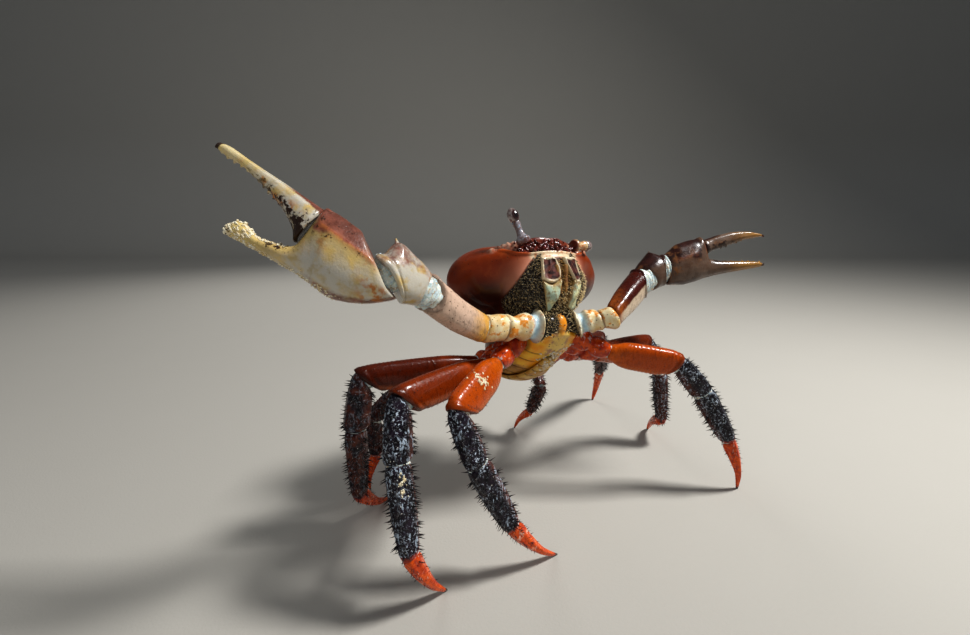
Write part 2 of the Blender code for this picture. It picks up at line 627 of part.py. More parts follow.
        palm_shape = loft(PALM_ROWS[side], CLAW_SIDES["palm"])
        trim_limb(palm_shape, palm, wrist_plane, keeps_outer_end=True)
        along, above = FINGER_HINGES[side]
        finger_root = palm @ (Vector((along, 0, above)) * MM) / MM
        finger = limb_frame(finger_root, joints["finger_tip"], palm_up)
        knuckle_plane = (finger_root, finger.col[0].to_3d())
        self.add(prefix + "palm", palm_shape, material, palm)
        finger_shape = loft(FINGER_ROWS[side], CLAW_SIDES["finger"])
        trim_limb(finger_shape, finger, knuckle_plane, keeps_outer_end=True)
        self.add(prefix + "finger", finger_shape, material, finger)

    # -------------------------------------------------------------- placing
    def centre_on_floor(self):
        """Moves the whole crab so that the frame's origin is under the middle of its outline."""
        bpy.context.view_layer.update()
        corners = []
        for thing in self.parts.objects:
            if thing.type == "MESH":
                corners += [thing.matrix_world @ vertex.co for vertex in thing.data.vertices]
        for axis in range(2):
            values = [corner[axis] for corner in corners]
            self.holder.location[axis] = -(min(values) + max(values)) / 2
        bpy.context.view_layer.update()


def main():
    clear_scene()
    crab = Crab()
    crab.build_carapace()
    crab.build_thorax()
    crab.build_tail()
    crab.build_mouth()
    crab.build_eyes()
    for side in SIDE_SIGN:
        for pair in LEG_PAIRS:
            crab.build_leg(side, pair)
    crab.build_claw("right", "claw_ivory")
    crab.build_claw("left", "claw_brown")
    crab.centre_on_floor()


main()
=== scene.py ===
"""Land crab raising its claws: the finished skin, hairs, stage and camera over the crab's solids.

Lengths are millimetres until a mesh is made. The crab stands on Z = 0 and faces -Y. Its body has a
frame of its own, in which X runs to its left, Y to its tail and Z out of its back, and every limb
piece is lofted along its own X axis, with Z towards its upper side.
"""

from math import asin, ceil, copysign, cos, pi, radians, sin, sqrt

import bpy
import numpy as np
from bpy.props import FloatProperty, FloatVectorProperty, IntProperty, PointerProperty
from mathutils import Matrix, Vector


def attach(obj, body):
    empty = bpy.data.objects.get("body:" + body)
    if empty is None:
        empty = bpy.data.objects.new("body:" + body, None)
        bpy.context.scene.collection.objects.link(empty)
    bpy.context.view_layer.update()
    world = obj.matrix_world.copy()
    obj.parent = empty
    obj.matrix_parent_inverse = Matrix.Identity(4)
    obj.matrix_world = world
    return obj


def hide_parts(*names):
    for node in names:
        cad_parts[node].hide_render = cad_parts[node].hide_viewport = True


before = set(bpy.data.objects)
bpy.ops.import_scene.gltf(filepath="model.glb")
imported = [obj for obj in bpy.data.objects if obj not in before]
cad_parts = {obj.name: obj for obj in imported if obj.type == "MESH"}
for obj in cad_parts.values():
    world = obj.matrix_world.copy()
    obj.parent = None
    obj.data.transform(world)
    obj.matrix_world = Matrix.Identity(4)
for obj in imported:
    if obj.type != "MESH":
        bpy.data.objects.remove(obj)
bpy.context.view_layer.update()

bl_info = {
    "name": "Land Crab Model",
    "version": (1, 0, 0),
    "blender": (4, 5, 0),
    "location": "3D View > Sidebar > Land Crab",
    "description": "Builds a life-size land crab with raised claws over its solids",
    "category": "Add Mesh",
}

# ---- how the crab stands
MM = 0.001
STAND_SHIFT = np.array((8.987, 10.206, 0.0))    # puts the frame's origin under the middle of the crab
BODY_HEIGHT = 127
BODY_PITCH = 37                                 # degrees, nose up
BODY_ROLL = 4.5                                 # degrees, left side down
HALF_GAP = 0.15
SIDE_SIGN = {"right": -1, "left": 1}

# ---- shell and thorax
# A bulge is an ellipsoid: centre x, y, z and radii x, y, z. One off the mid-line has a twin.
SHELL_CENTRE = np.array((0, -6, 4.0))
SHELL_BULGES = (
    ((25.5, -8.5, 10), (27.3, 21, 20)),
    ((0, -2, 10.5), (34, 40, 17)),
    ((0, 4, -6), (29, 33, 18)),
    ((0, -26.5, 0), (27, 18.5, 23.5)),
    ((0, -22, 12), (41, 20.5, 8.5)),
)
THORAX_CENTRE = np.array((0, 3, -24.0))
THORAX_BULGES = (((0, 10.5, -25), (25, 30, 21)), ((0, -13, -27), (22, 19, 15)))
BULGE_BLEND = 3.2
RIM_ROLL = ((0.985, 0.25), (0.955, 0.9), (0.9, 1.6))        # share of the open edge, and depth
SEAM_POINT = np.array((0, -38, -25.0))
SEAM_RISE = radians(12)
SEAM_UP = np.array((0, -sin(SEAM_RISE), cos(SEAM_RISE)))
# The fur on a cheek and round the mouth, as corners of across and height on the face.
FUR_CORNERS = ((10.5, 7.2), (16, 3.8), (28, -9), (23, -15), (15, -20.5),
               (12, -30), (-12, -30), (-12, -12), (9, -12))
# Grooves of the back, as across and lengthways places. Each has a twin on the other side.
BACK_GROOVES = (
    ((0, -40), (0.5, -31), (5, -26), (7, -17), (6.5, -6), (10.5, 1), (11.5, 10), (7, 17), (8.5, 28)),
    ((10.5, 1), (17, -5), (20.5, -14), (19.5, -24), (25, -31)),
    ((7, 17), (0, 18.5)),
)
# Places of the seams across the breast, lengthways.
BREAST_SEAMS = (-14, -5.5, 4, 13.5, 23)

# ---- face
KEEL_PATH = ((30, 15), (23, 10.6), (15.5, 8.2), (8.5, 7.6))
CHEEK_SUTURE = ((31, -2.5), (27, -10), (20, -17))
EYE_CORNER = (30, -30, 15)
EYE_CORNER_TIP = (38.5, -37.5, 20.5)
STALK_ROOTS = {"right": (-17.5, -43.6, 14.6), "left": (16.5, -44, 14.2)}
STALK_TIPS = {"right": (-23.2, -47.6, 36), "left": (34, -40.4, 16.6)}
STALK_SHARE = 0.62
STALK_ROWS = ((0, 2.5), (2, 2.9), (4.5, 2.2), (8, 1.9), (11, 2.3), (13, 2.7))
EYE_RADII = (4.8, 2.5, 3.0)
EYE_SWELL = 1.12
FEELERS = (((5, -42.5, 12), (3.2, -44.8, 15.5), 1.2), ((3.2, -44.8, 15.5), (8.5, -44.5, 13), 0.8),
           ((11, -42, 11.5), (15.5, -43.8, 12.5), 1.4), ((15.5, -43.8, 12.5), (19.5, -43, 15), 0.5))
FEELER_ROWS = ((-0.1, 0.9), (0.3, 1.1), (0.6, 0.8), (1.0, 0.6), (1.1, 0.3))
PALP_ROWS = ((-1, 1.3), (3, 1.5), (6, 1.0), (9, 1.25), (13, 0.9), (15.5, 0.3))
PALP_LIFT = np.array((0, -1.3, 0))

# ---- tail
TAIL_ARC = (12, 128)
TAIL_HALF_WIDTHS = (15, 15.5, 13.5, 11, 8.5, 6.5, 5, 3.2)

# ---- walking legs
LEG_PAIRS = (2, 3, 4, 5)
LEG_PIECES = ("merus", "carpus", "propodus", "dactyl")
LEG_ROOTS = {2: (24, -16, -34), 3: (27, -4.5, -34), 4: (26, 9, -33), 5: (20, 22.5, -30)}
LEG_HIPS = {2: (40, -17, -46), 3: (41, -5, -43), 4: (37, 11, -36), 5: (32, 23, -32)}
LEG_LENGTHS = {2: (45, 28, 40, 40), 3: (64, 28, 42, 39), 4: (68, 30, 43, 37), 5: (53, 22, 29, 31)}
LEG_GIRTH = {2: 1.0, 3: 1.05, 4: 1.05, 5: 0.8}
FOOT_SOLE = 0.25
# Degrees: bearing, turn of the last two lengths, lean, then the slopes of merus, carpus and propodus.
LEG_POSES = {
    ("right", 2): (29, -11.5, 17.5, "under", (-14.5, -97.5, -106.5)),
    ("right", 3): (21.5, 14, 13.5, "under", (0.5, -72, -83.5)),
    ("right", 4): (-6.5, 46.5, -2.5, "under", (0.5, -78.5, -90.5)),
    ("right", 5): (-11.5, 2, -14, "away", (-17.5, -49, -92.5)),
    ("left", 2): (35, 25, -13.5, "away", (-10.5, -47.5, -57.5)),
    ("left", 3): (-12.5, -52, 11, "away", (-6, -55.5, -82.5)),
    ("left", 4): (-30.5, -5, -11.5, "away", (-7, -35, -43.5)),
    ("left", 5): (-74.5, -22.5, 2.5, "away", (-23.5, -137, -64)),
}
# A row is the share of the length, the lowest and highest edge and the half thickness.
LEG_ROWS = {
    "merus": ((-0.12, -4.2, 4, 3.4), (0.08, -5.6, 5.2, 4.1), (0.35, -7.8, 7, 4.9), (0.7, -7.9, 7.4, 4.9),
              (0.95, -6.6, 7.2, 4.7), (1.12, -3.4, 5.2, 4)),
    "carpus": ((-0.2, -3, 3.4, 3.2), (0.02, -4.6, 6.2, 4.3), (0.4, -6, 7.2, 4.9), (0.85, -6.8, 7, 5.1),
               (1.1, -5.8, 5.8, 4.5)),
    "propodus": ((-0.1, -5.2, 5.4, 4.2), (0.08, -6.8, 6.8, 5), (0.5, -6.4, 6.6, 4.8), (0.92, -4.9, 5, 4),
                 (1.06, -3.6, 3.6, 3)),
    "dactyl": ((-0.08, -3.6, 3.4, 3), (0.06, -4, 4.6, 3.6), (0.35, -1.5, 5.3, 3.1), (0.68, 0.5, 4.4, 2.2),
               (0.9, -0.1, 2.2, 1.3), (1.02, -0.7, 0.6, 0.6)),
}
BASE_ROWS = ((-0.3, -6.2, 6.2, 5.8), (0.1, -6.6, 6.6, 6.1), (0.42, -6.4, 6.4, 5.6), (0.55, -5.4, 5.4, 4.9),
             (0.8, -6, 6, 4.9), (1.15, -5, 5, 4.2))

# ---- claws
CLAW_ROOTS = {"right": (-16.5, -32, -30.5), "left": (16.5, -32, -30.5)}
CLAW_JOINTS = {
    "right": {"hinge": (-49.5, -35.5, 123), "elbow": (-87.5, -45, 149.5), "wrist": (-108.5, -52.5, 158.5),
              "fixed_tip": (-165.5, -24.5, 177.5), "finger_tip": (-164, -13.5, 211.5)},
    "left": {"hinge": (29, -52.5, 123), "elbow": (65, -39.5, 140), "wrist": (85, -41, 147),
             "fixed_tip": (142.5, -73, 149.5), "finger_tip": (148, -67.5, 167.5)},
}
WRIST_TILT = {"right": 40, "left": 0}
CLAW_ROWS = {
    ("right", "base"): ((-6, -7.2, 7.2, 7), (4, -7.6, 7.6, 7.4), (11, -7, 7, 6.8), (14.5, -6.2, 6.2, 6),
                        (20, -7, 7, 6.2), (36, -7.2, 7.2, 6)),
    ("left", "base"): ((-6, -6.4, 6.4, 6.2), (4, -6.8, 6.8, 6.6), (9, -6.4, 6.4, 6), (12, -5.6, 5.6, 5.4),
                       (16, -6, 6, 5.6), (28, -5.8, 5.8, 5.4)),
    ("right", "merus"): ((-6, -6.8, 6.8, 5.6), (6, -8.4, 6.6, 6.4), (22, -9.8, 6.2, 7.2),
                         (38, -9.2, 7.4, 7.4), (47, -8, 8, 7), (56, -5.4, 6, 5.6)),
    ("left", "merus"): ((-6, -5.4, 6.2, 4.8), (4, -6.2, 7.6, 5.6), (20, -8.2, 9, 6.8), (34, -8.8, 8.8, 7.2),
                        (42, -8, 8.6, 6.8), (50, -5, 6, 5.2)),
    ("right", "carpus"): ((-7, -5, 5.4, 5), (0, -8, 7.6, 7.4), (8, -9.6, 10.4, 9), (18, -9.8, 11, 9.6),
                          (26, -8.4, 9, 8.6), (34, -6, 6, 7)),
    ("left", "carpus"): ((-7, -5, 5.4, 4.6), (0, -8.2, 7.8, 6.6), (7, -9.6, 9.8, 8), (15, -9.8, 10.2, 8.4),
                         (22, -9, 9, 7.6), (28, -7, 7, 6.6)),
    ("right", "palm"): ((-14, -5, 3, 5.6), (-4, -10.4, 6.4, 8.6), (7, -14.4, 13.2, 10.4),
                        (17, -15.2, 16.6, 11.2), (25, -13, 19.6, 10.8), (29.6, -11, 20.4, 9.2),
                        (38.2, -8, 1.8, 6.6), (43, -6.8, 0.2, 5.8), (52, -4.2, 0.6, 4.6), (57, -3, 3.2, 3.6),
                        (61.5, -1.8, 5.2, 3), (66.6, -0.6, 2.4, 1.6)),
    ("left", "palm"): ((-6, -8, 7, 6), (2, -11.2, 10.4, 8), (9, -11.2, 16, 9.2), (17, -9.8, 18.6, 9),
                       (25.2, -7.4, 18.2, 7.2), (28.4, -6.6, 5.4, 5.4), (37, -4.9, 3.1, 4.4),
                       (51, -2.9, 2.3, 3.2), (60, -1.6, 1.8, 2.1), (66, -0.4, 0.7, 0.9)),
    ("right", "finger"): ((-3, -8.6, 8, 6.4), (0.5, -9.2, 8.8, 7.2), (5, -5.6, 8.4, 6.6), (14, -1.6, 7, 5.2),
                          (25, 0.5, 5.4, 4), (37, 0.7, 4.1, 3), (46, -0.8, 3.2, 2.4),
                          (50.6, -0.9, 1.6, 1.2)),
    ("left", "finger"): ((-3, -4.2, 4.2, 4), (0.5, -4.6, 4.9, 4.6), (6, -2.9, 5.6, 4.2),
                         (12, -1.8, 6.2, 3.8), (20, -0.5, 6.3, 3.2), (32, 0.6, 4.8, 2.4),
                         (39, 0.2, 2.2, 1.4), (42.4, -0.4, 0.6, 0.6)),
}
CARPUS_SPINES = {"right": ((17, 0, 6), (22.5, -1, 17), 4.4), "left": ((12, 0, 6), (15.5, -1, 14.6), 3.6)}
CLAW_BASE_RINGS = {"right": (21, 3.6), "left": (14.5, 2.4)}     # the suture and the socket, along the base
FINGER_HINGES = {"right": (34.4, 11), "left": (26.8, 12.4)}

# ---- finish
SPECULAR = 0.2
COAT_ROUGHNESS = 0.12
FLESH_RADII = (1.0, 0.5, 0.25)
UNDER_FUR = ((0.012, 0.009, 0.008), (0.05, 0.035, 0.02), 1.6)       # what mottled() takes below the fur
PATCH = 0.003       # width of a grown thing's patch on the UV map
SURFACES = {}       # finished skins by piece name, for what grows on them


# ==== numbers and frames
def unit(vector):
    """The vector at length 1."""
    vector = np.asarray(vector, float)
    return vector / np.linalg.norm(vector, axis=-1, keepdims=True)


def smooth(low, high, value):
    """0 below low, 1 above high and an easy slope between."""
    share = np.clip((np.asarray(value, float) - low) / (high - low), 0, 1)
    return share * share * (3 - 2 * share)


def bell(value, middle, width):
    """1 at the middle, falling away to both sides."""
    return np.exp(-((np.asarray(value, float) - middle) / width) ** 2)


def curve(places, values, at):
    """A smooth curve through points, read at any places between the first and the last."""
    places, values = np.asarray(places, float), np.asarray(values, float)
    steps = np.diff(values) / np.diff(places)
    before, after = steps[:-1], steps[1:]
    both = np.where(before + after == 0, 1, before + after)
    bend = np.where(before * after > 0, 2 * before * after / both, 0)
    slopes = np.concatenate((steps[:1], bend, steps[-1:]))
    at = np.clip(at, places[0], places[-1])
    index = np.clip(np.searchsorted(places, at) - 1, 0, len(places) - 2)
    span = places[index + 1] - places[index]
    share = (at - places[index]) / span
    first, second = values[index], values[index + 1]
    rise_first, rise_second = slopes[index] * span, slopes[index + 1] * span
    return (first * (1 + 2 * share) * (1 - share) ** 2 + rise_first * share * (1 - share) ** 2
            + second * share ** 2 * (3 - 2 * share) + rise_second * share ** 2 * (share - 1))


def body_rotation():
    """The matrix that turns body places to how the body leans."""
    pitch, roll = radians(-BODY_PITCH), radians(BODY_ROLL)
    about_x = np.array(((1, 0, 0), (0, cos(pitch), -sin(pitch)), (0, sin(pitch), cos(pitch))))
    about_y = np.array(((cos(roll), 0, sin(roll)), (0, 1, 0), (-sin(roll), 0, cos(roll))))
    return about_x @ about_y


BODY_TURN = body_rotation()
FRONT = BODY_TURN @ np.array((0, -1, 0))


def standing(places):
    """Body places as standing places."""
    return np.asarray(places, float) @ BODY_TURN.T + np.array((0, 0, BODY_HEIGHT))


def mirrored(place, side):
    """A place given for the left side, on either side."""
    return np.array((place[0] * SIDE_SIGN[side], place[1], place[2]), float)


def pick(side, right, left):
    """The first value for the right side, the second for the left."""
    return right if side == "right" else left


def round_rows(pairs):
    """Rows of a limb outline that is round, from places along it and radii."""
    return [(place, -radius, radius, radius) for place, radius in pairs]


def distance_to_path(across, along, corners):
    """Distance in a plane to a path through corners."""
    best = np.full(np.shape(across), 1e9)
    for (x0, y0), (x1, y1) in zip(corners, corners[1:]):
        dx, dy = x1 - x0, y1 - y0
        share = np.clip(((across - x0) * dx + (along - y0) * dy) / (dx * dx + dy * dy), 0, 1)
        best = np.minimum(best, np.hypot(across - x0 - share * dx, along - y0 - share * dy))
    return best


def depth_inside(across, along, corners):
    """How far a place is inside a closed outline, and less than nothing outside it."""
    ring = list(corners) + [corners[0]]
    distance = distance_to_path(across, along, ring)
    inside = np.zeros(np.shape(across), bool)
    for (x0, y0), (x1, y1) in zip(ring, ring[1:]):
        meets = (x1 - x0) * (along - y0) / (y1 - y0 + 1e-12) + x0
        crosses = ((y0 > along) != (y1 > along)) & (across < meets)
        inside ^= crosses
    return np.where(inside, distance, -distance)


class Limb:
    """The frame of one limb piece: its start, its axes and the rows of its outline."""

    def __init__(self, start, end, upper, rows):
        self.start = np.asarray(start, float)
        self.length = float(np.linalg.norm(np.asarray(end, float) - self.start))
        self.along = unit(np.asarray(end, float) - self.start)
        self.across = unit(np.cross(np.asarray(upper, float), self.along))
        self.above = np.cross(self.along, self.across)
        self.rows = np.asarray(rows, float)

    def stands(self, x, y, z):
        return self.start + (np.multiply.outer(x, self.along) + np.multiply.outer(y, self.across)
                             + np.multiply.outer(z, self.above))

    def section(self, x, angle, square):
        """Middle height, sideways and upward offsets of the outline at an angle round it."""
        low, high, thick = [curve(self.rows[:, 0], self.rows[:, column], x) for column in (1, 2, 3)]
        across, above = [np.sign(part) * np.abs(part) ** (2 / square)
                         for part in (np.cos(angle), np.sin(angle))]
        return (low + high) / 2, across * thick, above * (high - low) / 2

    def meets(self, plane, angle, square):
        """Where the outline at each angle reaches a plane."""
        point = np.asarray(plane[0], float) - self.start
        normal = np.array([np.dot(plane[1], axis) for axis in (self.along, self.across, self.above)])
        level = float(np.dot(plane[1], point))
        x = np.full(len(angle), level / normal[0])
        for _ in range(12):
            middle, sideways, upward = self.section(x, angle, square)
            goal = (level - normal[1] * sideways - normal[2] * (middle + upward)) / normal[0]
            x = x + 0.7 * (goal - x)
        return x


def joint_plane(before, joint, after):
    """The plane through a joint that halves its bend, pointing along the limb."""
    joint = np.asarray(joint, float)
    return joint, unit(unit(joint - np.asarray(before, float)) + unit(np.asarray(after, float) - joint))


def moved(plane, distance):
    """A plane moved along its direction."""
    return plane[0] + plane[1] * distance, plane[1]


# ==== meshes
class Skin:
    """A closed surface of rings, with named values at its points."""

    def __init__(self, rings, values=None):
        count, sides = rings.shape[:2]
        self.places = np.concatenate((rings.reshape(-1, 3), rings[:1].mean(axis=1), rings[-1:].mean(axis=1)))
        index = np.arange(count * sides).reshape(count, sides)
        following = np.roll(index, -1, axis=1)
        self.quads = np.stack((index[:-1], following[:-1], following[1:], index[1:]), axis=-1).reshape(-1, 4)
        first, last = count * sides, count * sides + 1
        start = np.stack((following[0], index[0], np.full(sides, first)), axis=-1)
        end = np.stack((index[-1], following[-1], np.full(sides, last)), axis=-1)
        self.corners = np.concatenate((start, end))
        self.values = {}
        for name, value in (values or {}).items():
            self.set(name, value, count, sides)
        up, round_it = np.meshgrid(np.linspace(0.02, 0.98, count), np.linspace(0.02, 0.98, sides),
                                   indexing="ij")
        flat = np.stack((round_it, up, np.zeros((count, sides))), axis=-1).reshape(-1, 3)
        self.unwrap = np.concatenate((flat, ((0.5, 0.01, 0), (0.5, 0.99, 0))))
        self.face_outwards()

    def set(self, name, value, count, sides):
        value = np.asarray(value, float)
        full = np.broadcast_to(value, (count, sides) + value.shape[2:])
        full = full.reshape((count * sides,) + value.shape[2:])
        ends = np.stack((full[:sides].mean(axis=0), full[-sides:].mean(axis=0)))
        self.values[name] = np.concatenate((full, ends))

    def face_outwards(self):
        parts = np.concatenate((self.quads[:, :3], self.quads[:, [0, 2, 3]], self.corners))
        a, b, c = (self.places[parts[:, k]] - self.places.mean(axis=0) for k in range(3))
        if np.einsum("ij,ij->i", a, np.cross(b, c)).sum() < 0:
            self.quads = self.quads[:, ::-1]
            self.corners = self.corners[:, ::-1]


def joined(skins):
    """Several skins as one. It keeps the values that the first one has."""
    whole = Skin.__new__(Skin)
    starts = np.cumsum([0] + [len(skin.places) for skin in skins])
    whole.places = np.concatenate([skin.places for skin in skins])
    whole.quads = np.concatenate([skin.quads + start for skin, start in zip(skins, starts)])
    whole.corners = np.concatenate([skin.corners + start for skin, start in zip(skins, starts)])
    whole.values = {name: np.concatenate([skin.values[name] for skin in skins]) for name in skins[0].values}
    return whole


def fill(data, field, value):
    """Writes an array into a field of a Blender collection."""
    data.foreach_set(field, value.astype(np.float32).ravel())


def make_mesh(name, skin):
    """A Blender mesh in metres in the frame, from a skin in standing millimetres."""
    mesh = bpy.data.meshes.new(name)
    faces = np.concatenate((skin.quads.ravel(), skin.corners.ravel()))
    sizes = np.concatenate((np.full(len(skin.quads), 4), np.full(len(skin.corners), 3)))
    mesh.vertices.add(len(skin.places))
    fill(mesh.vertices, "co", (skin.places + STAND_SHIFT) * MM)
    mesh.loops.add(len(faces))
    mesh.loops.foreach_set("vertex_index", faces.astype(np.int32))
    mesh.polygons.add(len(sizes))
    mesh.polygons.foreach_set("loop_start", (np.cumsum(sizes) - sizes).astype(np.int32))
    mesh.update(calc_edges=True)
    for label, value in skin.values.items():
        kind, field = ("FLOAT_VECTOR", "vector") if value.ndim == 2 else ("FLOAT", "value")
        layer = mesh.attributes.new(label, kind, "POINT")
        fill(layer.data, field, value)
    mesh.shade_smooth()
    return mesh


def add_piece(name, mesh, material, slot, replaced=()):
    """A finished piece at the origin that rides with the crab."""
    piece = bpy.data.objects.new(name, mesh)
    bpy.context.scene.collection.objects.link(piece)
    mesh.materials.clear()
    mesh.materials.append(material)
    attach(piece, "root")
    if replaced:
        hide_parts(*replaced)
    return piece


def add_skin(name, skin, material, slot, replaced=()):
    """Adds a skin as a piece and keeps it for what grows on it."""
    SURFACES[name] = skin
    return add_piece(name, make_mesh(name, skin), material, slot, replaced)


# ==== rounded bodies
def body_distance(places, bulges):
    """About how far places are outside bulges that run together softly."""
    total = np.zeros(places.shape[:-1])
    for centre, radii in bulges:
        for sign in ((1, -1) if centre[0] else (1,)):
            offset = places - np.array((centre[0] * sign, centre[1], centre[2]), float)
            scaled = np.sqrt(((offset / np.array(radii)) ** 2).sum(axis=-1))
            steeper = np.sqrt(((offset / np.array(radii, float) ** 2) ** 2).sum(axis=-1))
            total += np.exp(-scaled * (scaled - 1) / np.maximum(steeper, 1e-6) / BULGE_BLEND)
    return -BULGE_BLEND * np.log(np.maximum(total, 1e-300))


def reach(centre, directions, bulges):
    """Where rays from the centre leave the bulges."""
    rays = unit(directions)
    near, far = np.full(rays.shape[:-1], 1.0), np.full(rays.shape[:-1], 90.0)
    for _ in range(22):
        middle = (near + far) / 2
        inside = body_distance(centre + rays * middle[..., None], bulges) < 0
        near, far = np.where(inside, middle, near), np.where(inside, far, middle)
    return centre + rays * near[..., None]


def outward(places, bulges):
    """Directions straight out of the bulges."""
    slope = np.zeros(places.shape)
    for axis in range(3):
        step = np.zeros(3)
        step[axis] = 0.05
        slope[..., axis] = body_distance(places + step, bulges) - body_distance(places - step, bulges)
    return unit(slope)


def dome(centre, bulges, pole, around, down, keeps):
    """Rings from a pole to the seam, as places on the bulges. Keeps is 1 above the seam or -1 below."""
    bearing = turns(around)

    def place(polar):
        sine, cosine = np.sin(polar), np.cos(polar)
        ray = np.stack((sine * np.cos(bearing), sine * np.sin(bearing), pole * cosine), axis=-1)
        return reach(centre, ray, bulges)

    near, far = np.full(around, 0.2), np.full(around, pi - 0.05)
    for _ in range(20):
        middle = (near + far) / 2
        kept = keeps * ((place(middle) - SEAM_POINT) @ SEAM_UP) > HALF_GAP
        near, far = np.where(kept, middle, near), np.where(kept, far, middle)
    shares = np.linspace(0.004, 1, down)
    return np.stack([place(near * share) for share in shares])


def turns(count):
    """Angles once round."""
    return np.linspace(0, 2 * pi, count, endpoint=False)


def held(values, before, after):
    """Values with those of the first and last rings repeated, for rings that are added at the ends."""
    return {name: np.concatenate((np.repeat(value[:1], before, axis=0), value,
                                  np.repeat(value[-1:], after, axis=0)))
            for name, value in values.items()}


def closed_dome(rings, inward, values):
    """A dome whose open edge turns inwards and closes. Inward points into the body."""
    middle = rings[-1].mean(axis=0)
    extra = [middle + (rings[-1] - middle) * share + inward * depth for share, depth in RIM_ROLL]
    values = held(values, 0, len(RIM_ROLL))
    values["grow"][-len(RIM_ROLL):] = 0
    return Skin(standing(np.concatenate((rings, np.stack(extra)))), values)


# ==== node trees
class Wire:
    """One output of a node, which arithmetic turns into Math nodes."""

    def __init__(self, nodes, socket):
        self.nodes = nodes
        self.socket = socket

    def __add__(self, other):
        return self.nodes.math("ADD", self, other)

    def __sub__(self, other):
        return self.nodes.math("SUBTRACT", self, other)

    def __mul__(self, other):
        return self.nodes.math("MULTIPLY", self, other)

    def __abs__(self):
        return self.nodes.math("ABSOLUTE", self)


class Nodes:
    """Writes the nodes of one tree, for a material or for Geometry Nodes."""

    def __init__(self, tree):
        self.tree = tree
        tree.nodes.clear()

    def node(self, kind, settings=None, inputs=None, output=0):
        """Adds a node, sets it, fills its sockets with values or wires and returns one of its outputs."""
        made = self.tree.nodes.new(kind)
        for key, value in (settings or {}).items():
            setattr(made, key, value)
        for key, value in (inputs or {}).items():
            if isinstance(value, Wire):
                self.tree.links.new(value.socket, made.inputs[key])
            else:
                made.inputs[key].default_value = value
        return Wire(self, made.outputs[output]) if made.outputs else None

    def math(self, operation, *values):
        return self.node("ShaderNodeMath", {"operation": operation}, dict(enumerate(values)))

    def scaled(self, vector, factor):
        return self.node("ShaderNodeVectorMath", {"operation": "SCALE"}, {0: vector, "Scale": factor})

    def added(self, first, second):
        return self.node("ShaderNodeVectorMath", {"operation": "ADD"}, {0: first, 1: second})

    def stored(self, shape, name, value, kind="FLOAT_VECTOR"):
        """A shape with a named value at its points."""
        return self.node("GeometryNodeStoreNamedAttribute", {"data_type": kind, "domain": "POINT"}, {
            "Geometry": shape, "Name": name, "Value": value})

    def other(self, wire, output):
        """Another output of the node that a wire comes from."""
        return Wire(self, wire.socket.node.outputs[output])


class Finish(Nodes):
    """The node tree of one material. Patterns are sized in millimetres, and the colour is laid in coats."""

    def __init__(self, name, *ground):
        self.material = bpy.data.materials.new(name)
        self.material.use_nodes = True
        super().__init__(self.material.node_tree)
        self.place = self.scaled(self.node("ShaderNodeTexCoord", output="Object"), 1 / MM)
        self.colour = self.mottled(*ground) if ground else None

    def __getitem__(self, name):
        """One of the skin's named values."""
        return self.node("ShaderNodeAttribute", {"attribute_name": name}, output="Fac")

    def stretched(self, length):
        """Object coordinates that draw a pattern out along Z."""
        return self.node("ShaderNodeMapping", inputs={"Vector": self.place, "Scale": (1.0, 1.0, length)})

    def noise(self, size, detail=3.0, roughness=0.55, place=None):
        inputs = {"Vector": place or self.place, "Scale": 1 / size, "Detail": detail, "Roughness": roughness}
        return self.node("ShaderNodeTexNoise", inputs=inputs)

    def cells(self, size, place=None):
        """Distance to the nearest of many scattered points."""
        inputs = {"Vector": place or self.place, "Scale": 1 / size}
        return self.node("ShaderNodeTexVoronoi", inputs=inputs, output="Distance")

    def step(self, wire, low, high):
        """0 up to low, 1 from high and an easy slope between. Low may be the greater."""
        return self.node("ShaderNodeMapRange", {"interpolation_type": "SMOOTHSTEP"},
                         {"Value": wire, "From Min": low, "From Max": high})

    def patches(self, size, low, high, detail=3.0, roughness=0.55, place=None):
        """Noise of one size, cut by a step."""
        return self.step(self.noise(size, detail, roughness, place=place), low, high)

    def specks(self, size, radius, share):
        """Round spots on a share of the cells, 1 inside."""
        cell = self.cells(size)
        chosen = self.node("ShaderNodeSeparateColor", inputs={0: self.other(cell, "Color")})
        return self.step(cell, radius, radius * 0.55) * self.step(chosen, share, share * 0.8)

    def blend(self, mask, first, second):
        """First where the mask is 0 and second where it is 1."""
        colours = {6: first, 7: second}
        for key, value in colours.items():
            if not isinstance(value, Wire):
                colours[key] = (*value, 1)
        return self.node("ShaderNodeMix", {"data_type": "RGBA"}, {0: mask, **colours}, output=2)

    def mottled(self, colour, second, size, low=0.35, high=0.65):
        return self.blend(self.patches(size, low, high, 4.0), colour, second)

    def coat(self, mask, colour):
        """Lays a colour over what is there, where the mask is 1."""
        self.colour = self.blend(mask, self.colour, colour)

    def finish(self, roughness, heights, coat=0.0, sheen=0.0, through=0.0):
        """Heights are (wire, depth in millimetres) pairs. Coat, sheen and through are plain numbers."""
        normal = None
        for height, depth in heights:
            inputs = {"Height": height * copysign(1.0, depth), "Distance": abs(depth) * MM, "Strength": 1.0}
            if normal:
                inputs["Normal"] = normal
            normal = self.node("ShaderNodeBump", inputs=inputs)
        shader = self.node("ShaderNodeBsdfPrincipled", inputs={
            "Base Color": self.colour, "Roughness": roughness, "Specular IOR Level": SPECULAR,
            "Coat Weight": coat, "Coat Roughness": COAT_ROUGHNESS, "Sheen Weight": sheen,
            "Subsurface Weight": through,
            "Subsurface Radius": FLESH_RADII, "Subsurface Scale": MM, "Normal": normal})
        self.node("ShaderNodeOutputMaterial", inputs={"Surface": shader})
        return self.material


# ==== materials
def shaded(colour, share):
    """A darker colour, or a brighter one where the share is above 1."""
    return tuple(value * share for value in colour)


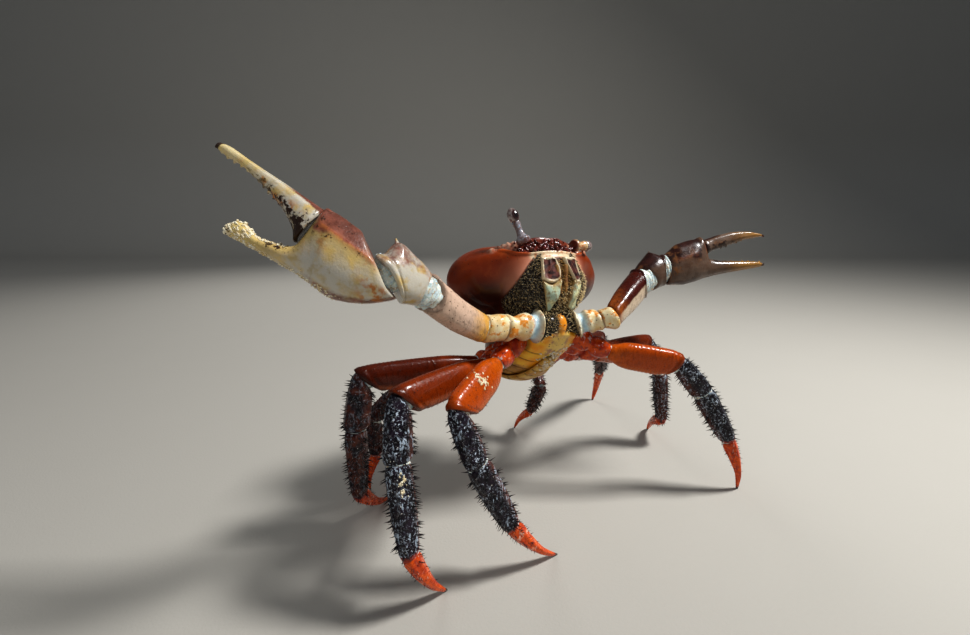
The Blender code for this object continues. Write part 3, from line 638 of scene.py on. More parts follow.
def carapace_finish(settings):
    made = Finish("shell_chestnut", settings.shell_colour, (0.22, 0.03, 0.001), 14, 0.3, 0.75)
    made.coat(made.patches(30, 0.4, 0.75, 2) * 0.5, (0.32, 0.06, 0.004))
    made.coat(made.patches(1.3, 0.55, 0.75, 4, 0.7) * 0.25, (0.1, 0.012, 0.002))
    # Painted shade and painted dark reflection: this colour darkens the lower outer cheeks of the shell.
    made.coat(made.step(made["shade"] + made.noise(12, 3) * 0.4 - 0.2, 0.0, 0.8) * 0.94, settings.shell_painted_shade)
    # Pinkish pale band on the cheek beside the fur: mostly a painted highlight, partly the shell's own paler
    # tone there.
    made.coat(made["cheek"] * 0.8, (0.74, 0.36, 0.24))
    made.coat(made["keel"], (0.55, 0.1, 0.02))
    made.coat(made["groove"] * 0.55, (0.09, 0.012, 0.003))
    veins = made.step(abs(made.noise(9, 4, 0.6) - 0.5), 0.05, 0.0) * made.patches(20, 0.45, 0.65)
    made.coat(veins * 0.2, (0.34, 0.09, 0.02))
    pits = made.specks(2.0, 0.24, 0.55) * made.step(made["height"] + made.noise(8) * 10 - 5, 4, 13)
    made.coat(pits * 0.9, (0.045, 0.01, 0.005))
    made.coat(made.specks(5.2, 0.1, 0.25) * made.step(made["height"], 12, 2), (0.62, 0.42, 0.28))
    made.coat(made["hollow"], made.mottled((0.035, 0.006, 0.004), (0.13, 0.02, 0.012), 1.6))
    made.coat(made["lip"], made.mottled((0.7, 0.55, 0.36), (0.52, 0.2, 0.08), 3.2, 0.45, 0.7))
    made.coat(made["rim"], made.mottled((0.1, 0.01, 0.004), (0.22, 0.045, 0.02), 2))
    made.coat(made["corner"] * 0.8, made.mottled((0.5, 0.2, 0.12), (0.62, 0.42, 0.3), 2))
    made.coat(made["furred"], made.mottled(*UNDER_FUR))
    made.coat(made["gap"], made.mottled((0.16, 0.07, 0.018), (0.05, 0.02, 0.008), 1.2))
    made.coat(made["edge"] * 0.8, (0.35, 0.2, 0.12))
    rough = made.noise(6, 3) * 0.16 + settings.shell_roughness + made["furred"] * 0.4
    heights = [(pits, -0.16), (made.noise(0.9, 4, 0.6), 0.05 * settings.relief),
               (made.noise(5, 3), 0.25 * settings.relief)]
    return made.finish(rough, heights, coat=0.35)


def breast_finish():
    made = Finish("belly_ochre", (0.74, 0.27, 0.004), (0.8, 0.45, 0.03), 7)
    made.coat(made["middle"], made.mottled((0.7, 0.48, 0.12), (0.34, 0.17, 0.1), 5, 0.45, 0.65))
    under = made.mottled((0.24, 0.1, 0.015), (0.5, 0.25, 0.05), 9)
    made.coat(made.step(made["front"] + made.noise(7) * 0.5, 0.6, 0.25), under)
    # Painted shade: dark brown high on the rear of the breast, towards the shell's edge.
    made.coat(made.step(made["height"], 0.45, 0.75), made.mottled((0.1, 0.035, 0.012), (0.2, 0.08, 0.03), 8))
    made.coat(made["furred"], (0.03, 0.02, 0.014))
    made.coat(made["knob"], made.mottled((0.68, 0.24, 0.012), (0.6, 0.46, 0.26), 4, 0.45, 0.7))
    made.coat(made["groove"] * 0.9, (0.07, 0.03, 0.012))
    dirt = made.specks(2.2, 0.24, 0.42)
    made.coat(dirt * 0.85, (0.06, 0.03, 0.015))
    grain = made.noise(1.4, 4, 0.6)
    return made.finish(grain * 0.2 + 0.28, [(grain, 0.12), (dirt, 0.1)], coat=0.3, through=0.04)


def tail_finish():
    made = Finish("tail_olive", (0.44, 0.2, 0.025), (0.6, 0.38, 0.09), 8)
    made.coat(made.patches(3, 0.5, 0.75, 4) * 0.6, (0.16, 0.065, 0.03))
    made.coat(made["groove"], (0.08, 0.035, 0.015))
    grain = made.noise(1.2, 4, 0.6)
    return made.finish(grain * 0.2 + 0.3, [(grain, 0.1)], coat=0.3)


def upper_mouth_finish():
    made = Finish("mouth_brown_plate", (0.02, 0.006, 0.005), (0.14, 0.042, 0.03), 3.0)
    rim = made.step(made["edge"] + made.noise(1.6) * 0.25 - 0.12, 0.7, 0.84)
    made.coat(rim, made.mottled((0.66, 0.56, 0.38), (0.45, 0.28, 0.12), 2.2, 0.5, 0.75))
    grain = made.noise(0.7, 3)
    return made.finish(grain * 0.15 + 0.3, [(grain, 0.08)], coat=0.35)


def lower_mouth_finish():
    made = Finish("mouth_olive", (0.56, 0.54, 0.3), (0.36, 0.44, 0.33), 4)
    made.coat(made.patches(2.4, 0.5, 0.62, 5, 0.6) * 0.75, (0.22, 0.13, 0.05))
    made.coat(made.step(made["edge"] + made.noise(1.8) * 0.3 - 0.15, 0.78, 1.0) * 0.8, (0.34, 0.2, 0.07))
    specks = made.specks(1.2, 0.24, 0.4)
    made.coat(specks * 0.75, (0.06, 0.045, 0.02))
    grain = made.noise(0.8, 3)
    return made.finish(grain * 0.15 + 0.35, [(grain, 0.08), (specks, -0.06)], coat=0.25)


def hair_finish(name, root, tip, low, high):
    """Hairs that turn from the root's colour to the tip's between two shares of their length."""
    made = Finish(name)
    made.colour = root
    made.coat(made.step(made["along"] + made.noise(3.0, 3) * 0.5 - 0.25, low, high), tip)
    return made.finish(0.5, [(made.noise(0.4), 0.02)], sheen=0.2)


def stalk_finish(name, colour, second, bloom):
    """Bloom is the colour of the pale clouds on the stalk."""
    made = Finish(name, colour, second, 2.4)
    made.coat(made.patches(1.7, 0.52, 0.68) * 0.75, bloom)
    made.coat(made.step(made["along"], 0.22, 0.0), (0.12, 0.03, 0.02))
    return made.finish(0.22, [(made.noise(0.6, 3), 0.06)], coat=0.7, through=0.08)


def cornea_finish():
    made = Finish("eye_dark")
    around = made["around"] + made.noise(1.5) * 0.15
    made.colour = (0.008, 0.005, 0.005)
    made.coat(made.step(around, 0.35, 0.75), (0.05, 0.02, 0.018))
    made.coat(made.step(around, 0.85, 1.05), made.mottled((0.12, 0.065, 0.055), (0.34, 0.29, 0.27), 1.4))
    return made.finish(0.09, [(made.cells(0.16), 0.012)], coat=1.0)


def wet_red_finish():
    made = Finish("mouth_wet_red", (0.03, 0.006, 0.005), (0.17, 0.028, 0.018), 1.8)
    made.coat(made.patches(2.6, 0.6, 0.72) * 0.4, (0.4, 0.17, 0.12))
    return made.finish(0.16, [(made.noise(0.7), 0.1)], coat=0.8, through=0.05)


def membrane_finish():
    made = Finish("joint_skin_pale", (0.74, 0.78, 0.7), (0.44, 0.56, 0.58), 3.2)
    made.coat(made.patches(2.2, 0.54, 0.66, 4) * 0.8, (0.5, 0.33, 0.17))
    vein = made.step(abs(made.noise(6, 3) - 0.5), 0.022, 0.006)
    made.coat(vein * 0.3, (0.34, 0.13, 0.04))
    heights = [(made.noise(1.1, 3), 0.3), (made.noise(3, 2), 0.4), (vein, -0.1)]
    return made.finish(0.25, heights, coat=0.4, through=0.12)


def claw_finish(name, arm, pearly, blotch, upper, speck, tip, tip_end, ridge_strength):
    """Colours of the faces, their sheen, blotches, the upper side, specks, the finger tips and their ends."""
    made = Finish(name, arm, shaded(arm, 0.72), 8, 0.35, 0.75)
    specked = made["specked"]
    made.coat(made.patches(7, 0.3, 0.6, 3) * made["pearl"], pearly)
    made.coat(made.patches(4.5, 0.55, 0.7, 4) * 0.4, shaded(arm, 0.6))
    over = made.mottled(upper, shaded(upper, 1.9), 5, 0.35, 0.7)
    made.coat(made.step(made["upper"] + made.noise(6) * 0.6 + made.noise(1.4, 4) * 0.35, 0.68, 1.15), over)
    made.coat(made.patches(5.5, 0.5, 0.63, 5, 0.6) * made["stained"], blotch)
    made.coat(made["ridge"] * ridge_strength, made.mottled((0.46, 0.15, 0.04), (0.28, 0.08, 0.05), 3))
    dots = made.specks(1.7, 0.26, 0.5) * specked
    made.coat(dots, speck)
    clots = made.step(made.noise(2.6, 5, 0.65) + specked * 0.22, 0.66, 0.74)
    made.coat(clots * made.step(specked, 0.1, 0.5), speck)
    made.coat(made["tip"], tip)
    made.coat(made.step(made["tip"], 0.8, 0.97), tip_end)
    made.coat(made["flexed"] * 0.6, pearly)
    rough = made.noise(5) * 0.18 + 0.2 + specked * 0.1
    heights = [(made.noise(1.0, 4, 0.6), 0.07), (made.noise(4), 0.25), (dots, -0.06)]
    return made.finish(rough, heights, coat=0.3, through=0.06)


def arm_finish(name, near, far, lower, speck, border):
    """A limb that runs from one colour near the body to another, with a lower side of its own.

    The border is how high round the limb the lower colour starts and is full.
    """
    made = Finish(name, near, shaded(near, 0.8), 4)
    along = made["along"]
    made.coat(made.step(along + made.noise(8, 4) * 0.5 - 0.25, -0.05, 0.5), far)
    made.coat(made.patches(5, 0.5, 0.7, 5, 0.6) * 0.35, shaded(far, 0.5))
    made.coat(made.step(made["upper"] + made.noise(6) * 0.3 - 0.15, *border), lower)
    warm = made.step(along + made.noise(5) * 0.3, 0.34, 0.14)
    made.coat(warm * 0.8, made.mottled(near, shaded(near, 0.7), 3))
    made.coat(made.step(along + made.noise(3) * 0.1, 0.93, 1.03) * 0.7, shaded(far, 0.3))
    bands = made.patches(1.6, 0.5, 0.7, 2, 0.5, made.stretched(0.35))
    made.coat(bands * 0.35, shaded(far, 0.35))
    dots = made.specks(1.7, 0.25, 0.5) * (made.step(along, 0.35, 0.75) * 0.7 + 0.3)
    made.coat(dots, speck)
    grain = made.noise(0.8, 4, 0.6)
    return made.finish(grain * 0.15 + 0.2, [(grain, 0.08), (bands, 0.12), (dots, 0.05)], coat=0.25)


def dark_leg_finish(name, glint_strength, warmth):
    """The hard black skin of a leg. The second argument sets how strong its painted glints are, and warmth
    how brown it turns.
    """
    made = Finish(name, (0.005, 0.004, 0.006), (0.018, 0.011, 0.019), 3.2)
    brown = made.mottled((0.05, 0.01, 0.006), (0.12, 0.03, 0.015), 3.5)
    made.coat(made["inner"] * 0.8, brown)
    made.coat(made.patches(7, 0.35, 0.6, 3) * warmth, brown)
    # Painted glints: pale blue-white wet highlights and streaks on the black skin.
    wet = made.patches(1.3, 0.54, 0.6, 5, 0.7)
    made.coat(wet * made.patches(8, 0.38, 0.55) * glint_strength, (0.5, 0.56, 0.63))
    glint_streak = made.patches(1.6, 0.56, 0.62, 4, 0.6, made.stretched(0.3))
    made.coat(glint_streak * made.patches(10, 0.45, 0.6, 2) * glint_strength * 0.9, (0.42, 0.5, 0.58))
    # Painted glints as well: small pale specks.
    made.coat(made.specks(1.3, 0.24, 0.3) * made.patches(6, 0.45, 0.6, 3), (0.72, 0.7, 0.62))
    made.coat(made.step(made["ruddy"] + made.noise(3) * 0.4 - 0.2, 0.5, 1.0), (0.34, 0.035, 0.012))
    stubble = made.step(made.cells(0.9, made.stretched(0.7)), 0.3, 0.12)
    made.coat(stubble * 0.6, (0.006, 0.004, 0.005))
    grain = made.noise(0.9, 4, 0.7)
    return made.finish(grain * 0.25 + 0.18, [(grain, 0.1), (wet, 0.1), (stubble, 0.25)], coat=0.15)


def toe_finish():
    made = Finish("toe_red", (0.7, 0.095, 0.001), (0.44, 0.034, 0.001), 3.5)
    along = made["along"]
    # Painted highlight: pale streaks near the toe's base stand in for wet highlights.
    pale = made.patches(1.8, 0.57, 0.68, 4, 0.65, made.stretched(0.4))
    made.coat(pale * made.step(along, 0.75, 0.2) * 0.8, (0.76, 0.55, 0.42))
    made.coat(made.step(along + made.noise(3) * 0.2, 0.2, 0.02) * 0.7, (0.16, 0.02, 0.02))
    made.coat(made.step(along, 0.9, 0.97), (0.035, 0.02, 0.015))
    made.coat(made.specks(1.4, 0.2, 0.35) * 0.7, (0.1, 0.015, 0.01))
    grain = made.noise(0.9, 4)
    return made.finish(grain * 0.15 + 0.2, [(grain, 0.1)], coat=0.3, through=0.03)


def claw_base_finish():
    made = Finish("claw_base_cream", (0.78, 0.68, 0.44), (0.7, 0.48, 0.2), 7)
    made.coat(made.patches(5.0, 0.5, 0.6, 4, 0.6) * 0.95, (0.64, 0.22, 0.015))
    made.coat(made.specks(1.9, 0.24, 0.5) * 0.85, (0.05, 0.02, 0.01))
    made.coat(made.step(made["upper"], -0.3, -0.9) * 0.6, (0.46, 0.24, 0.12))
    made.coat(made["groove"] * 0.85, (0.16, 0.06, 0.02))
    made.coat(made["soft"], made.mottled((0.5, 0.66, 0.7), (0.38, 0.52, 0.58), 3))
    made.coat(made["root"], made.mottled(*UNDER_FUR))
    grain = made.noise(1.0, 4)
    rough = grain * 0.15 + 0.22 + made["root"] * 0.5
    return made.finish(rough, [(grain, 0.1), (made.noise(4), 0.25)], coat=0.3, through=0.05)


def hip_finish():
    made = Finish("hip_orange", (0.58, 0.078, 0.002), (0.3, 0.02, 0.002), 4.5)
    made.coat(made.patches(3.1, 0.6, 0.7, 5, 0.6) * 0.8, (0.5, 0.48, 0.46))
    dark = made.patches(2.4, 0.58, 0.7, 4, 0.6)
    made.coat(dark * 0.7, (0.05, 0.02, 0.015))
    made.coat(made["flexed"], (0.4, 0.34, 0.34))
    grain = made.noise(1.2, 4, 0.6)
    return made.finish(grain * 0.15 + 0.18, [(grain, 0.15), (dark, 0.2)], coat=0.35, through=0.03)


def plain_grain_finish(name, colour, second, size, roughness, coat):
    made = Finish(name, colour, second, size * 3)
    return made.finish(roughness, [(made.noise(size, 3), 0.05)], coat=coat)


# ==== things that repeat
def repeat_group(name, source, shape):
    """A Geometry Nodes group that grows a shape all over a skin, or sets it along a path.

    Source is "surface" or "path", and shape is spike_shape or grain_shape.
    """
    group = bpy.data.node_groups.new(name, "GeometryNodeTree")
    sockets = {"Geometry": "Geometry", "Seed": "Int", "Material": "Material"}
    for label in ("Geometry", "Amount", "Length", "Radius", "Lean", "Spread", "Bend", "Smallest",
                  "Sink", "Seed", "Material"):
        group.interface.new_socket(label, in_out="INPUT",
                                   socket_type="NodeSocket" + sockets.get(label, "Float"))
    group.interface.new_socket("Geometry", in_out="OUTPUT", socket_type="NodeSocketGeometry")
    made = Nodes(group)
    given = made.node("NodeGroupInput")

    def asked(label):
        return made.other(given, label)

    lie = made.node("GeometryNodeInputNamedAttribute", {"data_type": "FLOAT_VECTOR"}, {"Name": "lie"})
    if source == "surface":
        grow = made.node("GeometryNodeInputNamedAttribute", {"data_type": "FLOAT"}, {"Name": "grow"})
        points = made.node("GeometryNodeDistributePointsOnFaces", inputs={
            "Mesh": asked("Geometry"), "Density": asked("Amount") * grow, "Seed": asked("Seed")})
        upright = made.other(points, "Normal")
    else:
        path = made.node("GeometryNodeMeshToCurve", inputs={"Mesh": asked("Geometry")})
        points = made.node("GeometryNodeResampleCurve", {"mode": "LENGTH"},
                           {"Curve": path, "Length": asked("Amount")})
        upright = lie
    wander = made.node("FunctionNodeRandomValue", {"data_type": "FLOAT_VECTOR"}, {
        0: (-1.0, -1.0, -1.0), 1: (1.0, 1.0, 1.0), "Seed": asked("Seed")})
    aim = made.added(made.scaled(wander, asked("Spread")), made.scaled(lie, asked("Lean")))
    turn = made.node("FunctionNodeAlignRotationToVector", {"axis": "Z"}, {"Vector": made.added(aim, upright)})
    size = made.node("FunctionNodeRandomValue", {"data_type": "FLOAT"}, {
        2: asked("Smallest"), 3: 1.0, "Seed": asked("Seed") + 7}, output=1)
    placed = made.node("GeometryNodeInstanceOnPoints", inputs={
        "Points": points, "Instance": shape(made, asked), "Rotation": turn, "Scale": size})
    real = made.node("GeometryNodeRealizeInstances", inputs={"Geometry": placed})
    dressed = made.node("GeometryNodeSetMaterial", inputs={"Geometry": real, "Material": asked("Material")})
    made.node("NodeGroupOutput", inputs={"Geometry": dressed})
    return group


def spike_shape(made, asked):
    """A bent tapering spike that stands on its base and sinks a little into the skin."""
    length, radius = asked("Length"), asked("Radius")
    cone = made.node("GeometryNodeMeshCone", {"fill_type": "NGON"}, {
        "Vertices": 5, "Side Segments": 2, "Radius Top": radius * 0.12, "Radius Bottom": radius,
        "Depth": length})
    split = made.node("ShaderNodeSeparateXYZ", inputs={0: made.node("GeometryNodeInputPosition")})
    rise = made.math("DIVIDE", made.other(split, "Z"), length)
    offset = made.node("ShaderNodeCombineXYZ", inputs={
        "X": rise * rise * asked("Bend") * length, "Z": asked("Sink") * -1.0})
    round_it = made.math("DIVIDE", made.other(split, "X"), radius) * 0.5
    local = made.node("ShaderNodeCombineXYZ", inputs={"X": round_it, "Y": rise})
    shape = made.stored(made.stored(cone, "along", rise, "FLOAT"), "local", local)
    return made.node("GeometryNodeSetPosition", inputs={"Geometry": shape, "Offset": offset})


def grain_shape(made, asked):
    """A lumpy little stone."""
    radius = asked("Radius")
    ball = made.node("GeometryNodeMeshIcoSphere", inputs={"Radius": radius, "Subdivisions": 2})
    place = made.node("GeometryNodeInputPosition")
    lumps = made.node("ShaderNodeTexNoise", inputs={
        "Vector": place, "Scale": made.math("DIVIDE", 0.8, radius), "Detail": 1.0})
    shape = made.stored(ball, "local", made.scaled(place, made.math("DIVIDE", 0.5, radius)))
    shift = made.scaled(place, (lumps - 0.5) * asked("Bend"))
    return made.node("GeometryNodeSetPosition", inputs={"Geometry": shape, "Offset": shift})


def grown(name, mesh, group, material, sizes):
    """The plain mesh that a group makes on a mesh. Lengths in sizes are millimetres."""
    carrier = bpy.data.objects.new(name + "_carrier", mesh)
    bpy.context.scene.collection.objects.link(carrier)
    modifier = carrier.modifiers.new(name, "NODES")
    modifier.node_group = group
    inputs = dict(sizes, Material=material)
    for item in group.interface.items_tree:
        if item.in_out == "INPUT" and item.name in inputs:
            modifier[item.identifier] = inputs[item.name]
    bpy.context.view_layer.update()
    evaluated = carrier.evaluated_get(bpy.context.evaluated_depsgraph_get())
    result = bpy.data.meshes.new_from_object(evaluated)
    result.name = name
    carrier.modifiers.clear()
    bpy.data.objects.remove(carrier)
    result.shade_smooth()
    return result


def sizes_of(amount, length, radius, lean=0.0, spread=0.2, bend=0.0, smallest=0.5, sink=0.2, seed=1):
    """Inputs for a repeat group, from millimetres. Amount is a spacing on a path or a count per mm2."""
    return {"Amount": amount, "Length": length * MM, "Radius": radius * MM, "Lean": lean, "Spread": spread,
            "Bend": bend, "Smallest": smallest, "Sink": sink * MM, "Seed": seed}


def grow_on(name, skins, group, material, slot, sizes, where="grow"):
    """Grows things on skins, as thickly as one of their values says and along their lie."""
    tiles = ceil(sqrt(len(skins)))
    for number, skin in enumerate(skins):
        corner = np.array((number % tiles, number // tiles, 0))
        skin.values = dict(skin.values, skin_uv=(skin.unwrap + corner) / tiles)
    whole = joined(skins)
    whole.values = {"grow": np.clip(whole.values[where], 0, 1), "lie": whole.values["lie"],
                    "skin_uv": whole.values["skin_uv"]}
    per_square_metre = dict(sizes, Amount=sizes["Amount"] / MM ** 2)
    mesh = grown(name, make_mesh(name, whole), group, material, per_square_metre)
    patch_unwrap(mesh)
    return add_piece(name, mesh, material, slot)


def patch_unwrap(mesh):
    """Gives each grown thing a small patch of the UV map, at its root's place on the skin's unwrap."""
    roots, own = np.zeros((2, len(mesh.vertices) * 3), np.float32)
    mesh.attributes["skin_uv"].data.foreach_get("vector", roots)
    mesh.attributes["local"].data.foreach_get("vector", own)
    places = (roots + own * PATCH).reshape(-1, 3)[:, :2]
    corners = np.zeros(len(mesh.loops), np.int32)
    mesh.loops.foreach_get("vertex_index", corners)
    layer = mesh.uv_layers.new(name="OFBake")
    fill(layer.data, "uv", places[corners])


def set_along(name, paths, group, material, slot, sizes):
    """Sets things along open paths of (places, outward directions) in standing millimetres."""
    mesh = bpy.data.meshes.new(name)
    places, ways = (np.concatenate(parts) for parts in zip(*paths))
    starts = np.cumsum([0] + [len(place) for place, _ in paths])
    edges = [(step, step + 1) for start, end in zip(starts, starts[1:]) for step in range(start, end - 1)]
    mesh.from_pydata(((places + STAND_SHIFT) * MM).tolist(), edges, [])
    layer = mesh.attributes.new("lie", "FLOAT_VECTOR", "POINT")
    fill(layer.data, "vector", ways)
    spaced = dict(sizes, Amount=sizes["Amount"] * MM)
    return add_piece(name, grown(name, mesh, group, material, spaced), material, slot)


# ==== body pieces
def carapace_skin():
    """The shell with its face hollow, rims and grooves."""
    rings = dome(SHELL_CENTRE, SHELL_BULGES, 1, 300, 170, 1)
    x, y, z = np.moveaxis(rings, -1, 0)
    wide = np.abs(x)
    normal = outward(rings, SHELL_BULGES)
    facing = smooth(-27, -33, y) * smooth(32.5, 29.5, wide)
    sill = 9.2 + 0.022 * np.maximum(0, wide - 12) ** 2
    hollow = smooth(-0.5, 1.0, z - sill) * smooth(0.6, -0.9, z - 18.6) * facing
    groove = np.max([bell(distance_to_path(wide, y, corners), 0, 1.7) for corners in BACK_GROOVES], axis=0)
    groove *= smooth(6, 12, z)
    face_depth = depth_inside(wide, z, FUR_CORNERS)
    furred = np.maximum(smooth(-0.8, 0.8, face_depth) * smooth(-8, -14, y),
                        smooth(-20.5, -22, z) * smooth(-12, -20, y) * smooth(26, 22, wide))
    keel = bell(distance_to_path(wide, z, KEEL_PATH), 0, 0.55) * smooth(-26, -31, y)
    suture = bell(distance_to_path(wide, z, CHEEK_SUTURE), 0, 0.5) * smooth(-10, -20, y)
    edge_height = (rings - SEAM_POINT) @ SEAM_UP
    lift = (-4.2 * hollow + 0.8 * bell(z - sill, -0.9, 0.8) * facing + 1.0 * bell(z, 19.4, 0.9) * facing
            + 0.5 * bell(wide, 7.5, 3) * bell(z, 20.5, 2.2) * smooth(-30, -36, y)
            - 0.5 * groove - 0.5 * furred + 0.45 * keel - 0.18 * suture
            + 0.07 * np.sin(x * 0.5 + 1.3 * np.sin(y * 0.31)) * np.sin(y * 0.43 + z * 0.2)
            + 0.5 * bell(edge_height, 1.2, 0.9) * smooth(-20, 5, y))
    corner_root = np.array(EYE_CORNER, float)
    corner_way = unit(np.array(EYE_CORNER_TIP, float) - corner_root)
    from_root = np.stack((wide, y, z), axis=-1) - corner_root
    off_axis = from_root - (from_root @ corner_way)[..., None] * corner_way
    spine = smooth(4.2, 0.2, np.linalg.norm(off_axis, axis=-1)) * smooth(-24, -28, y)
    spine_way = corner_way * np.stack((np.sign(x), np.ones(x.shape), np.ones(x.shape)), axis=-1)
    rings = rings + normal * lift[..., None] + spine_way * (2.2 * spine ** 1.5)[..., None]
    orbit_edge = (bell(z, 19.0, 1.1 + 0.5 * np.sin(wide * 1.7)) * smooth(17, 21, wide) * smooth(-22, -28, y)
                  * smooth(41, 37, wide) * smooth(-28, -33, y))
    rings = rings + normal * (orbit_edge * (0.6 + 0.6 * np.sin(wide * 2.3)))[..., None]
    lie = np.stack((0.25 * x / 30, np.full(x.shape, -0.1), np.full(x.shape, -1.0)), axis=-1)
    return closed_dome(rings, SEAM_UP, {
        "height": z, "groove": groove, "furred": furred, "hollow": hollow, "grow": furred,
        "lip": smooth(-0.6, 0.4, sill - z) * smooth(4.6, 5.4, z) * facing * smooth(17.5, 14.5, wide),
        "rim": bell(z, 19.2, 1.4) * facing, "corner": np.maximum(spine, orbit_edge), "keel": keel * 0.7,
        # shade marks where painted shade darkens the lower outer cheeks.
        "shade": smooth(13, -13, z) * smooth(12, 36, wide), "knobs": hollow * smooth(23, 18, wide),
        # cheek marks where the painted highlight beside the fur goes.
        "cheek": (np.exp(-np.maximum(0, -face_depth) / 4.5) * smooth(-20, -30, y) * smooth(10, 6, z)
                  * smooth(-14, 2, z) * (1 - furred)),
        "edge": bell(edge_height, 0.4, 1.0),
        "gap": (smooth(3.4, 2.4, wide - 7 * smooth(4, -10, z) * (x > 0)) * smooth(-22, -20, z)
                * smooth(5.5, 3.5, z) * smooth(-20, -30, y)),
        "lie": unit(lie) @ BODY_TURN.T,
    })


def thorax_skin():
    """The breast with its plates."""
    rings = dome(THORAX_CENTRE, THORAX_BULGES, -1, 240, 120, -1)
    x, y, z = np.moveaxis(rings, -1, 0)
    wide = np.abs(x)
    below = smooth(-27, -33, z)
    plate_seams = [bell(y - place - 0.16 * wide, 0, 0.55) * smooth(5, 9, wide) for place in BREAST_SEAMS]
    middle_seam = bell(wide, 0, 0.45) * smooth(-20, -15, y) * smooth(-2, -8, y)
    groove = np.max([*plate_seams, middle_seam], axis=0) * below
    sockets = np.zeros(x.shape)
    for pair in LEG_PAIRS:
        for side in SIDE_SIGN:
            root = mirrored(LEG_ROOTS[pair], side)
            place = reach(THORAX_CENTRE, root - THORAX_CENTRE, THORAX_BULGES)
            sockets = np.maximum(sockets, smooth(9.5, 6.5, np.linalg.norm(rings - place, axis=-1)))
    knob = np.exp(-(np.hypot(x, (z + 30.6) * 0.62) / 3.3) ** 4) * smooth(-20, -24, y)
    furred = smooth(-35.6, -34.2, z) * smooth(-16, -20, y) * smooth(18, 14, wide) * (1 - knob)
    lift = (-0.8 * groove - 0.9 * sockets + 0.35 * np.sin(y * 0.7) * below * smooth(8, 14, wide) + 2.0 * knob
            + 0.9 * bell(z, -36.4, 1.1) * smooth(-18, -22, y) * smooth(15, 11, wide))
    rings = rings + outward(rings, THORAX_BULGES) * lift[..., None]
    return closed_dome(rings, -SEAM_UP, {
        "front": smooth(8, -14, y) * below, "height": smooth(-34, -22, z) * smooth(-26, -16, y),
        "middle": smooth(9.5, 4.5, wide + 0.12 * np.abs(y + 20)) * smooth(-5, -12, y) * below * (1 - knob),
        "groove": np.maximum(groove, sockets * 0.7), "furred": furred, "knob": knob, "grow": furred * 0.7,
        "sand": bell(x, 2.5, 6.5) * bell(y, -11, 4) * below, "lie": unit(rings - THORAX_CENTRE) @ BODY_TURN.T,
    })


def plate_skin(spots, centre, bulges, clearance, thickness, relief=None):
    """A rounded plate over the bulges, from a grid of directions. Its rim curves down to the skin."""
    rows, columns = spots.shape[:2]
    down, across = np.meshgrid(np.linspace(-1, 1, rows), np.linspace(-1, 1, columns), indexing="ij")
    rim = np.maximum(np.abs(down), np.abs(across))
    crown = np.sqrt(np.clip(1 - rim ** 6, 0, 1))
    base = reach(centre, spots, bulges)
    normal = outward(base, bulges)
    lift = clearance + thickness * (0.25 + 0.75 * crown)
    sand = bell(base[..., 0], 1.5, 6) * bell(base[..., 1], -5, 5)
    values = {"edge": rim, "down": down, "groove": np.zeros(rim.shape), "sand": sand,
              "lie": normal @ BODY_TURN.T}
    if relief:
        extra, groove = relief(down, across)
        lift = lift + extra
        values["groove"] = groove
    top = base + normal * lift[..., None]
    bottom = base + normal * clearance
    under = np.concatenate((top, bottom[:, ::-1]), axis=1)
    for name, value in values.items():
        values[name] = np.concatenate((value, value[:, ::-1]), axis=1)
    return Skin(standing(under), values)


def tail_skin():
    """The tail, folded under the breast."""
    first, last = TAIL_ARC
    count, columns = 90, 33
    shares = np.linspace(0, 1, count)
    widths = curve(np.linspace(0, 1, len(TAIL_HALF_WIDTHS)), TAIL_HALF_WIDTHS, shares)
    angles = np.radians(first + (last - first) * shares)
    middle = np.stack((np.zeros(count), np.cos(angles), -np.sin(angles)), axis=-1)
    spine = reach(THORAX_CENTRE, middle, THORAX_BULGES) - THORAX_CENTRE
    across = np.linspace(-1, 1, columns)
    spots = spine[:, None, :] + np.stack(
        (np.multiply.outer(widths, across), np.zeros((count, columns)), np.zeros((count, columns))), axis=-1)

    def relief(down, across):
        joint = (down + 1) / 2 * 7 + 0.15 * (1 - across ** 2)
        near = np.abs(joint - np.round(joint))
        groove = bell(near, 0, 0.06) * (np.abs(across) < 0.97)
        return -0.7 * groove - 0.25 * bell(np.abs(across), 0.45, 0.2), groove

    return plate_skin(spots, THORAX_CENTRE, THORAX_BULGES, 0.9, 2.1, relief)


def mouth_spots(sign, inner, outer, top, bottom, rows=34, columns=28):
    """Directions for one mouth plate. Inner and outer are its edges, as functions of the share down.

    Top and bottom are functions of the share across.
    """
    down = np.linspace(0, 1, rows)[:, None]
    across = np.linspace(0, 1, columns)
    x = inner(down) + (outer(down) - inner(down)) * across
    z = top(across) + (bottom(across) - top(across)) * down
    return np.stack((sign * x, np.full(x.shape, -46.0), z), axis=-1) - SHELL_CENTRE


